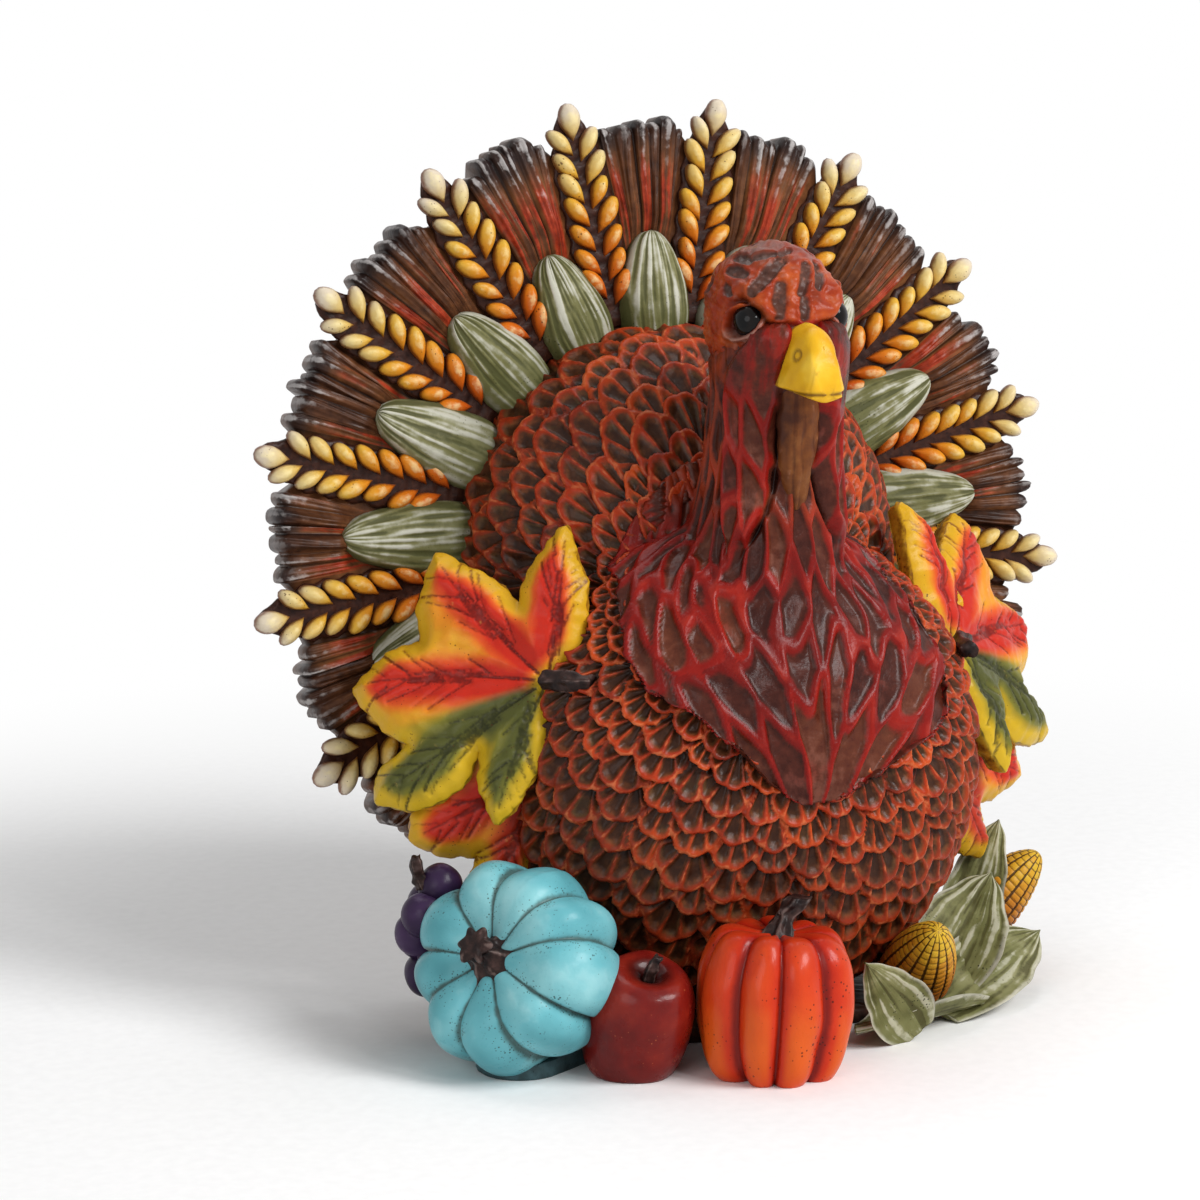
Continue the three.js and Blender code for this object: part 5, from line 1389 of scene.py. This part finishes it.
# Twigs and stems: fluted, lumpy and bent
def twig(length, radius, seed, count=30, sides=30, flutes=5):
    s = np.linspace(0, 1, count)[:, None]
    t = around(sides)
    dice = np.random.default_rng(abs(seed))
    phase = dice.uniform(0, 6.3, 3)
    thick = radius * (1.1 - 0.3 * s + 0.1 * np.sin(s * 7 + phase[0]))
    flute = 1 + 0.10 * np.cos(flutes * t + phase[1] + s * 1.4)
    out = thick * flute
    rings = loft(s**2 * radius + out * np.cos(t), out * np.sin(t), s * length + 0.3 * np.sin(3 * t + phase[2]) * s)
    rings = rings + 0.12 * radius * lumps(rings, radius * 1.6, abs(seed) + 1)[..., None] * unit(rings * (1, 1, 0) + 1e-6)
    return skin(rings, (0, 0, -0.1), (radius, 0, length - 0.12 * radius), relief=(flute - 0.9) / 0.2)


def twigPaint():
    book = PaintBook("twigResin")
    relief = book.map("relief")
    worn = book.noise(420, 4.0)
    colour = book.ramp(worn, (0.3, "171011"), (0.5, "2b1d1a"), (0.75, "493430"))
    colour = book.blend(book.step(relief + (worn - 0.5) * 0.8, 0.85, 1.1) * 0.6, colour, "7a6660")
    return book.done(colour, 0.28 + worn * 0.2, worn + book.noise(900, 2.0) * 0.4, (0.04, 0.16))


# Pumpkins: deep grooves between fat ribs, a dimple at the stem
harvest = {
    "bluePumpkin": {
        "at": (-69, -70, 24.5), "radius": 25, "tall": 0.78, "axis": (-0.764, -0.514, 0.391),
        "ribs": 9, "turn": 0.3, "foot": 0.8, "stalk": 0.3, "bend": 0.08,
    },
    "orangePumpkin": {
        "at": (-14.8, -94, 18.4), "radius": 18.6, "tall": 1.15, "axis": (0.06, 0.02, 1),
        "ribs": 9, "turn": -0.16, "foot": 0.42, "stalk": 0.5, "bend": 0.3,
    },
    "apple": {
        "at": (-45, -85, 14.2), "radius": 12.4, "tall": 1.18, "axis": (0.02, -0.4, 0.915),
        "girths": (0.5, 0.8, 0.97, 1.0, 0.95, 0.72, 0.36, 0.06),  # foot to dimple
        "heights": (-1.0, -0.96, -0.6, -0.08, 0.44, 0.8, 0.86, 0.66),
    },
    "ribDepth": 0.15,
    "stalkRadius": 0.15,
}


def fruitPlace(fruit):
    return axesAt(fruit["at"], fruit["axis"], (0, 1, 0))


def onTable(one):  # castings stand flat on the table
    points = one["points"].copy()
    points[:, 2] = np.maximum(points[:, 2], 0.0)
    return {**one, "points": points}


def pumpkinShell(fruit, seed):
    count, sides = 90, 240
    tilt = np.linspace(math.pi - 0.05, 0.06, count)[:, None]
    turn = around(sides)
    dice = np.random.default_rng(seed)
    warp = turn + 0.05 * np.sin(2 * turn + dice.uniform(0, 6)) + 0.04 * np.sin(5 * turn + dice.uniform(0, 6)) + fruit["turn"]
    rib = np.abs(np.sin(warp * fruit["ribs"] / 2))
    belly = np.sin(tilt) ** np.where(tilt < math.pi / 2, 0.8, fruit["foot"])
    dimple = 1 - 0.34 * np.clip(np.cos(tilt), 0, 1) ** 5
    bulge = 1 - harvest["ribDepth"] * (1 - rib**0.62) * smooth(belly, 0.0, 0.5)
    which = np.floor(warp * fruit["ribs"] / (2 * math.pi))
    size = 1 + 0.035 * np.sin(which * 4.1 + seed)
    out = fruit["radius"] * belly * bulge * size
    rise = fruit["radius"] * fruit["tall"] * np.cos(tilt) * dimple * (0.9 + 0.1 * rib**0.5)
    rings = loft(out * np.cos(turn), out * np.sin(turn), rise)
    rings = rings * (1 + 0.012 * lumps(rings, fruit["radius"] * 0.7, seed + 3))[..., None]
    top = fruit["radius"] * fruit["tall"]
    return skin(rings, (0, 0, -0.98 * top), (0, 0, top * 0.62), relief=rib**0.8, along=tilt / math.pi)


def pumpkinStem(fruit, seed):
    radius = fruit["radius"]
    s = np.linspace(0, 1, 40)[:, None]
    t = around(60)
    flare = harvest["stalkRadius"] * radius * (1.3 * np.exp(-s * 5) + 0.72 + 0.28 * bump(s - 0.9, 0.12))
    flute = 1 + 0.16 * np.cos(6 * t + 1.5 * s)
    out = flare * flute
    x = fruit["bend"] * radius * s**2 + out * np.cos(t)
    rings = loft(x, 0.05 * radius * s + out * np.sin(t), s * fruit["stalk"] * radius)
    rings = rings + 0.03 * radius * lumps(rings, radius * 0.22, seed)[..., None] * unit(rings * (1, 1, 0) + 1e-6)
    end = (fruit["bend"] * radius, 0.05 * radius, (fruit["stalk"] - 0.02) * radius)
    return skin(rings, (0, 0, -0.2), end, relief=(flute - 0.84) / 0.32)


def makePumpkins(blue, orange, stemPaint):
    kinds = (("bluePumpkin", "blue_pumpkin", blue, 11), ("orangePumpkin", "orange_pumpkin", orange, 23))
    for label, node, paint, seed in kinds:
        fruit = harvest[label]
        place = fruitPlace(fruit)
        makePiece(label, onTable(moved(pumpkinShell(fruit, seed), place)), paint, node, node)
        stem = raised(pumpkinStem(fruit, seed + 1), fruit["radius"] * fruit["tall"] * 0.6)
        makePiece(f"{label}Stem", moved(stem, place), stemPaint, "stems", f"{node}_stem")


def bluePaint():
    book = PaintBook("turquoiseResin")
    relief, along = book.maps("relief", "along")
    worn = book.noise(380, 4.0)
    patch = book.noise(60, 2.0)
    blue = book.ramp(patch, (0.3, "52969f"), (0.5, "68afb8"), (0.72, "8ac6cb"))
    chalk = book.step(relief + (worn - 0.5) * 0.6 + (patch - 0.5) * 0.8, 0.95, 1.25)
    colour = book.blend(chalk * 0.35, blue, "a3d0d4")
    # dark wash and painted shade in the grooves
    washAndShade = 1 - book.step(relief + (worn - 0.5) * 0.34, 0.06, 0.36)
    colour = book.blend(washAndShade * 0.8, colour, "3a3f33")
    dust = book.specks(1300, 0.14) * (1 - book.step(relief + (worn - 0.5) * 0.3, 0.45, 0.95))
    colour = book.blend(dust * 0.8, colour, "2c3027")
    colour = book.blend(book.specks(900, 0.02) * 0.7, colour, "33403b")
    # painted shade: darker and greyer towards the bottom
    foot = book.step(along, 0.62, 0.85)
    colour = book.blend(foot * 0.35, colour, "4f6a62")
    return book.done(colour, 0.22 + worn * 0.16, worn, (0.06, 0.16))


def orangePaint():
    book = PaintBook("orangeResin")
    relief, along = book.maps("relief", "along")
    worn = book.noise(380, 4.0)
    patch = book.noise(80, 2.0)
    orange = book.ramp(patch * 0.5 + relief * 0.5, (0.2, "a01a0e"), (0.5, "c0300f"), (0.8, "d2481a"))
    # dark wash and painted shade in the grooves
    washAndShade = 1 - book.step(relief + (worn - 0.5) * 0.24, 0.1, 0.46)
    colour = book.blend(washAndShade * 0.8, orange, "6e1109")
    low = book.step(along + (patch - 0.5) * 0.3, 0.4, 0.65) * (1 - book.step(along, 0.72, 0.88))
    colour = book.blend(low * book.step(relief, 0.5, 0.9) * 0.5, colour, "d8671a")
    top = 1 - book.step(along + (worn - 0.5) * 0.2, 0.16, 0.42)
    colour = book.blend(top * 0.55, colour, "9a140c")
    colour = book.blend(book.specks(800, 0.05) * 0.8, colour, "3d120b")
    return book.done(colour, 0.26 + worn * 0.14, worn, (0.16, 0.15))


# Apple, with a leafless twig in its dimple
def makeApple(paint, stemPaint):
    fruit = harvest["apple"]
    radius = fruit["radius"]
    tall = radius * fruit["tall"]
    knots = np.linspace(0, 1, len(fruit["girths"]))
    s = np.linspace(0.0, 1.0, 70)[:, None]
    girth = glide(s, knots, fruit["girths"]) * radius
    t = around(96)
    out = girth * (1 + 0.025 * np.cos(5 * t + 0.6) * np.abs(s - 0.5) * 2)
    rings = loft(out * np.cos(t), out * np.sin(t), glide(s, knots, fruit["heights"]) * tall)
    rings = rings * (1 + 0.012 * lumps(rings, 12, 51))[..., None]
    relief = smooth(girth / radius, 0.1, 0.8)
    one = skin(rings, (0, 0, -0.92 * tall), (0, 0, 0.64 * tall), relief=relief, along=s)
    place = fruitPlace(fruit)
    makePiece("apple", onTable(moved(one, place)), paint, "apple", "apple")
    stem = raised(twig(8, 1.4, 52, 26, 24, 4), tall * 0.6)
    makePiece("appleStem", moved(stem, place), stemPaint, "stems", "apple_stem")


def applePaint():
    book = PaintBook("appleResin")
    relief, along = book.maps("relief", "along")
    worn = book.noise(320, 4.0)
    patch = book.noise(90, 3.0)
    colour = book.ramp(patch, (0.25, "480b09"), (0.5, "6c130e"), (0.75, "882416"))
    # painted shade in the dimple at the top
    colour = book.blend((1 - book.step(relief, 0.15, 0.7)) * book.step(along, 0.5, 0.7) * 0.8, colour, "2c0a08")
    colour = book.blend(book.specks(900, 0.0) * 0.7, colour, "b8603a")
    return book.done(colour, 0.22 + worn * 0.14, worn, (0.16, 0.12))


# Grapes: a hanging bunch with a cut stalk
grapes = {
    "radius": 5.2,
    "crown": (-78.8, -47, 39),
    "hang": [  # from the top grape, in grape radii
        (0, 0, 0), (-0.96, -0.38, -1.17), (-0.98, 0.38, -2.19), (0, 1.35, -1.15),
        (-0.38, 1.6, -2.7), (0.2, 0.67, -3.37), (-0.2, 1.35, -4.4),
    ],
}


def makeGrapes(paint, stemPaint):
    bunch = []
    tilt = np.linspace(math.pi - 0.08, 0.08, 30)[:, None]
    for i, offset in enumerate(grapes["hang"]):
        rings = ball(tilt, around(40)) * (1, 1, 1.04) * grapes["radius"]
        rings = rings * (1 + 0.02 * lumps(rings, 7, 80 + i))[..., None]
        ends = [rings[0].mean(0) * 1.01, rings[-1].mean(0)]
        one = skin(rings, *ends, relief=1 - tilt / math.pi, tone=(i * 0.37) % 1)
        bunch.append({**one, "points": one["points"] + grapes["crown"] + np.array(offset) * grapes["radius"]})
    makePiece("grapeBunch", onTable(joined(bunch)), paint, "grapes", "grape_bunch")
    foot = grapes["crown"] + np.array((-0.8, 0, 0.1)) * grapes["radius"]
    place = axesAt(foot, (-0.5, 0, 0.85), (0, 1, 0))
    makePiece("grapeStem", moved(twig(7, 1.7, 90, 26, 24), place), stemPaint, "stems", "grape_stem")


def grapePaint():
    book = PaintBook("grapeResin")
    relief, tone = book.maps("relief", "tone")
    worn = book.noise(300, 4.0)
    patch = book.noise(120, 2.0)
    colour = book.ramp(patch * 0.7 + tone * 0.3, (0.25, "1d1226"), (0.5, "33213f"), (0.75, "4b3558"))
    # painted highlight on the top of each grape
    topHighlight = book.step(relief + (worn - 0.5) * 0.9, 0.8, 1.2)
    colour = book.blend(topHighlight * 0.35, colour, "8d7f9a")
    return book.done(colour, 0.28 + worn * 0.16, worn, (0.06, 0.16))


# Corn: rows of grains with dark lines between, in chalky husks
corn = {
    "length": 37,
    "radius": 9.4,
    "rows": 14,
    "grains": 21,
    "ears": [((31.9, -85.3, 25.7), (-0.15, -0.74, 0.65)), ((83.6, -42.4, 29), (0.69, -0.2, 0.69))],
    "husks": [  # foot, tip, which way it faces, width, cup, bow
        ((42, -66, 4), (64.6, -51.5, 27), (-0.4, -0.8, 0.5), 21, 3, 3),
        ((38, -75, 3), (78, -51, 10), (-0.1, -0.7, 0.7), 19, 3, 3),
        ((60, -42, 5), (75, -37, 37), (-0.5, -0.8, 0.2), 14, 2.2, 2.2),
        ((26, -86.5, 2), (9.6, -91, 22), (-0.2, -0.95, 0.1), 15, 2, 1.4),
        ((48, -74, 3), (9, -88, 5), (0.1, 0.3, 0.95), 18, 3.3, 0),
    ],
    "huskThickness": 2.6,
}


def makeCorn(paint, huskCover):
    for i, (tip, axis) in enumerate(corn["ears"], 1):
        s = 1 - (1 - np.linspace(0.0, 0.998, 130)[:, None]) ** 1.25
        t = around(196)
        girth = corn["radius"] * np.sqrt(np.clip(1 - s**2.6, 0, 1)) * (0.86 + 0.14 * np.sin(math.pi * s))
        row = t * corn["rows"] / (2 * math.pi) + 0.12 * np.sin(s * 5 + i)
        rowCell = np.abs((row % 1) * 2 - 1)
        grain = s * corn["grains"] + 0.35 * np.sin(np.floor(row) * 2.4 + i)
        grainCell = np.abs((grain % 1) * 2 - 1)
        pillow = np.sqrt(np.clip(1 - rowCell**4, 0, 1)) * np.sqrt(np.clip(1 - grainCell**4, 0, 1))
        height = girth + 0.85 * (pillow - 1) * np.clip(girth / corn["radius"], 0, 1) + 0.1
        rings = loft(height * np.cos(t), height * np.sin(t), (s - 0.5) * corn["length"])
        line = np.maximum(smooth(rowCell, 0.66, 0.92), smooth(grainCell, 0.6, 0.95) * 0.57)
        chance = np.sin(np.floor(row) * 12.98 + np.floor(grain) * 78.2) * 43758.5
        ends = [(0, 0, -corn["length"] / 2), (0, 0, corn["length"] / 2)]
        one = skin(rings, *ends, relief=1 - line, along=s, tone=chance - np.floor(chance))
        centre = np.array(tip, float) - unit(axis) * corn["length"] / 2
        makePiece(f"cornEar{i}", onTable(moved(one, axesAt(centre, axis, (0, 1, 0)))), paint, "corn", f"corn_ear_{i}")
    for i, (foot, tip, out, width, cup, bow) in enumerate(corn["husks"], 1):
        way = np.array(tip, float) - foot
        length = np.linalg.norm(way)
        s = 1 - (1 - np.linspace(0.0, 0.995, 70)[:, None]) ** 1.3
        t = around(120)
        halfWidth = width / 2 * np.sin(math.pi * (0.16 + 0.8 * s) ** 0.9) + 0.6
        halfWidth = halfWidth * np.sqrt(1 - smooth(s, 0.86, 1.0) ** 2 * 0.96)
        bend = bow * np.sin(math.pi * s * 0.8)
        dish = cup * (2 * halfWidth / width) ** 2
        across, thick = np.cos(t), np.sin(t)
        dice = np.random.default_rng(200 + i)
        groove = streaks(across * width / 2 * (0.7 + 0.3 * s), s * length + 0 * t, 200 + 2 * i)
        torn = 1 + 0.04 * np.sin(s * 23 + dice.uniform(0, 6.3)) * smooth(s, 0.3, 0.7)
        y = bend + dish * across**2 + thick * corn["huskThickness"] / 2 * (1 - 0.4 * across**2)
        y = y - 0.4 * groove * np.sign(thick) * np.abs(thick) ** 0.5
        rings = loft(halfWidth * across * torn, y, s * length)
        maps = {"relief": 1 - groove[:, ::-1], "along": s, "edge": np.abs(across[::-1]) ** 6}
        one = skin(rings[:, ::-1], (0, 0, 0), (0, bend[-1, 0], length), **maps)
        makePiece(f"cornHusk{i}", onTable(moved(one, axesAt(foot, way, out))), huskCover, "corn_husks", f"corn_husk_{i}")


def cornPaint():
    book = PaintBook("cornResin")
    relief, along, tone = book.maps("relief", "along", "tone")
    worn = book.noise(420, 4.0)
    place = along + (tone - 0.5) * 0.14 + (book.noise(120) - 0.5) * 0.3
    grain = book.ramp(place, (0.3, "8f4515"), (0.55, "ad651d"), (0.78, "c48a25"), (0.97, "d0a82f"))
    colour = book.blend(book.step(worn, 0.6, 0.78) * 0.4, grain, "e3c877")
    line = 1 - book.step(relief + (worn - 0.5) * 0.3, 0.35, 0.75)
    colour = book.blend(line * 0.9, colour, "2b160b")
    return book.done(colour, 0.32 + worn * 0.16, worn, (0.03, 0.18))


def cornHuskPaint():
    book = PaintBook("chalkyHuskResin")
    relief, along, rim = book.maps("relief", "along", "edge")
    worn = book.noise(420, 4.0)
    patch = book.noise(95, 2.0)
    olive = book.ramp(patch, (0.3, "5a5a32"), (0.5, "75754a"), (0.72, "918f68"))
    # painted shade down in the fine grooves
    recessShade = 1 - book.step(relief + (worn - 0.5) * 0.7, 0.1, 0.5)
    colour = book.blend(recessShade * 0.7, olive, "3b3719")
    chalk = book.step(relief + (worn - 0.5) * 0.9 + (patch - 0.5) * 0.4 + along * 0.24, 0.74, 1.1)
    colour = book.blend(chalk * 0.7, colour, "c2c0a9")
    colour = book.blend(book.step(rim + (worn - 0.5) * 0.5, 0.35, 0.85) * 0.6, colour, "cbc8b8")
    colour = book.blend(book.specks(1000, 0.06) * (1 - book.step(along, 0.2, 0.9)), colour, "1d180c")
    return book.done(colour, 0.46 + worn * 0.16, worn + relief * 0.5)


# Plinth: a low rough disc with tongues under the fruit, tinted by the fruit's paint
plinth = {
    "halfWidth": 62,
    "halfDepth": 41,
    "centreY": -31,
    "footShare": 0.4,
    "sides": 720,
    "profile": [  # how far in from the rim and how high, up the wall and over the top
        (1.4, 0), (0.5, 0.4), (0, 1.1), (0, 2), (0, 2.9), (0.4, 3.6), (1.2, 4), (3, 4), (8, 4), (18, 4), (30, 4),
    ],
}


def makePlinth(paint):
    t = around(plinth["sides"])
    reach = 1 / np.hypot(np.cos(t) / plinth["halfWidth"], np.sin(t) / plinth["halfDepth"])
    tint = np.zeros_like(t)
    for label, shade in (("apple", 0.5), ("orangePumpkin", 0.5), ("bluePumpkin", 1.0)):
        fruit = harvest[label]
        x, y = fruit["at"][0], fruit["at"][1] - plinth["centreY"]
        length, half = math.hypot(x, y), fruit["radius"] * plinth["footShare"]
        off = np.angle(np.exp(1j * (t - math.atan2(y, x))))
        beside = length * np.abs(np.sin(off))
        atEnd = length * np.cos(off) + np.sqrt(np.maximum(half**2 - beside**2, 0))
        tongue = np.where(beside < half, atEnd, half / np.maximum(np.abs(np.sin(off)), 1e-3)) * (np.abs(off) < 1.5)
        tint = np.where(tongue > reach, shade, tint)
        reach = np.maximum(reach, tongue)
    rings = []
    for inset, z in plinth["profile"]:
        out = np.maximum(reach - inset, 4)
        ring = np.stack([out * np.cos(t), plinth["centreY"] + out * np.sin(t), z + 0 * t], -1)
        rough = lumps(ring, 9, 90) + 0.6 * lumps(ring, 3.4, 91)
        ring[:, :2] *= (1 - 0.004 * (rough + 1.6) * (0 < z < 4))[:, None]
        ring[:, 2] = np.clip(ring[:, 2] + (0.12 * (rough - 1.6) if z == 4 else 0), 0, 4)
        rings.append(ring)
    rings = np.array(rings)
    ends = [(0, plinth["centreY"], 0), (0, plinth["centreY"], 3.8)]
    one = skin(rings, *ends, relief=0.5 + 0.3 * lumps(rings, 5, 92), tone=tint)
    makePiece("plinth", one, paint, "plinth", "plinth")


def plinthPaint():
    book = PaintBook("plinthResin")
    relief, tint = book.maps("relief", "tone")
    worn = book.noise(260, 4.0)
    colour = book.ramp(worn + (relief - 0.5) * 0.4, (0.3, "1f120d"), (0.5, "38221a"), (0.75, "513527"))
    red = book.step(tint + (worn - 0.5) * 0.2, 0.25, 0.4)
    colour = book.blend(red * 0.8, colour, book.ramp(worn, (0.3, "4a0f09"), (0.7, "7a1a0e")))
    blue = book.step(tint + (worn - 0.5) * 0.2, 0.7, 0.85)
    colour = book.blend(blue * 0.85, colour, book.ramp(worn, (0.3, "26393a"), (0.7, "3f6a70")))
    colour = book.blend(book.specks(900, 0.05) * 0.7, colour, "120a07")
    return book.done(colour, 0.42 + worn * 0.2, worn + book.noise(900, 2.0) * 0.4)


print("leaves and harvest")
twigCover = twigPaint()
makeLeaves(leafPaint("leafResin", 1.0), leafPaint("lowerLeafResin", 0.15), twigCover)
makePumpkins(bluePaint(), orangePaint(), twigCover)
makeApple(applePaint(), twigCover)
makeGrapes(grapePaint(), twigCover)
makeCorn(cornPaint(), cornHuskPaint())
makePlinth(plinthPaint())

# Stage: a white sweep, soft lamps and the photograph's camera
stage = {  # metres in the row frame
    "sweep": 6.0,
    "world": 0.25,
    "shadowReach": (0.16, 0.42),
    "lamps": {  # place, what it aims at, size, watts
        "keyLamp": ((0.75, -0.95, 1.05), (0, 0, 0.09), 0.7, 19.0),
        "glintLamp": ((0.3, -1.25, 0.85), (0, 0, 0.09), 0.24, 3.0),
        "fillLamp": ((-1.1, -0.9, 0.6), (0, 0, 0.09), 0.9, 4.6),
        "topLamp": ((0.1, 0.5, 1.3), (0, 0, 0.1), 0.9, 5.0),
    },
}
camera = {
    "target": (-17.65, 0, 93.7),
    "azimuth": math.radians(-23.6),
    "elevation": math.radians(11),
    "distance": 1000,
    "lens": 121.68,
}


def makeStage():
    half = stage["sweep"]
    mesh = bpy.data.meshes.new("whiteFloor")
    mesh.from_pydata([(-half, -half, 0), (half, -half, 0), (half, half, 0), (-half, half, 0)], [], [(0, 1, 2, 3)])
    floor = addObject("whiteFloor", mesh)
    book = PaintBook("floorPaper")
    paper = book.node("ShaderNodeTexNoise", {}, {"Vector": book.place(), "Scale": 300.0}, "Fac")
    white = book.ramp(paper, (0.3, "f7f7f7"), (0.7, "fbfbfb"))
    floorShader = {"Base Color": white, "Roughness": 0.9, "Specular IOR Level": 0.0}
    shader = book.node("ShaderNodeBsdfPrincipled", {}, floorShader)
    glow = book.node("ShaderNodeEmission", {}, {"Color": (1, 1, 1, 1), "Strength": 1.0})
    away = book.node("ShaderNodeVectorMath", {"operation": "LENGTH"}, {0: book.place()}, "Value")
    far = book.step(away, *stage["shadowReach"]) * book.seen()
    faded = book.node("ShaderNodeMixShader", {}, {0: far, 1: shader, 2: glow})
    book.node("ShaderNodeOutputMaterial", {}, {"Surface": faded})
    mesh.materials.append(book.material)
    world = bpy.data.worlds.new("studio")
    bpy.context.scene.world = world
    book = PaintBook("studio", world)
    seen = book.node("ShaderNodeBackground", {}, {"Color": (1, 1, 1, 1), "Strength": 1.0})
    lit = book.node("ShaderNodeBackground", {}, {"Color": (1, 1, 1, 1), "Strength": stage["world"]})
    both = book.node("ShaderNodeMixShader", {}, {0: book.seen(), 1: lit, 2: seen})
    book.node("ShaderNodeOutputWorld", {}, {"Surface": both})


def aimed(thing, place, aim):
    thing.location = place
    thing.rotation_euler = (aim - place).to_track_quat("-Z", "Y").to_euler()


def makeLamp(name, place, aim, size, watts):
    data = bpy.data.lights.new(name, "AREA")
    data.shape = "DISK"
    data.size = size
    data.energy = watts
    aimed(addObject(name, data), Vector(place), Vector(aim))


def makeCamera():
    data = bpy.data.cameras.new("photoCamera")
    data.lens = camera["lens"]
    data.sensor_width = 36
    data.clip_end = 50
    a, e = camera["azimuth"], camera["elevation"]
    way = np.array([math.sin(a) * math.cos(e), -math.cos(a) * math.cos(e), math.sin(e)])
    eye = addObject("photoCamera", data)
    place = np.array(camera["target"]) + way * camera["distance"]
    aimed(eye, Vector(toRow(place)), Vector(toRow(camera["target"])))
    bpy.context.scene.camera = eye


print("stage")
makeStage()
for lampName, lamp in stage["lamps"].items():
    makeLamp(lampName, *lamp)
makeCamera()
bpy.context.scene.view_settings.view_transform = "Standard"
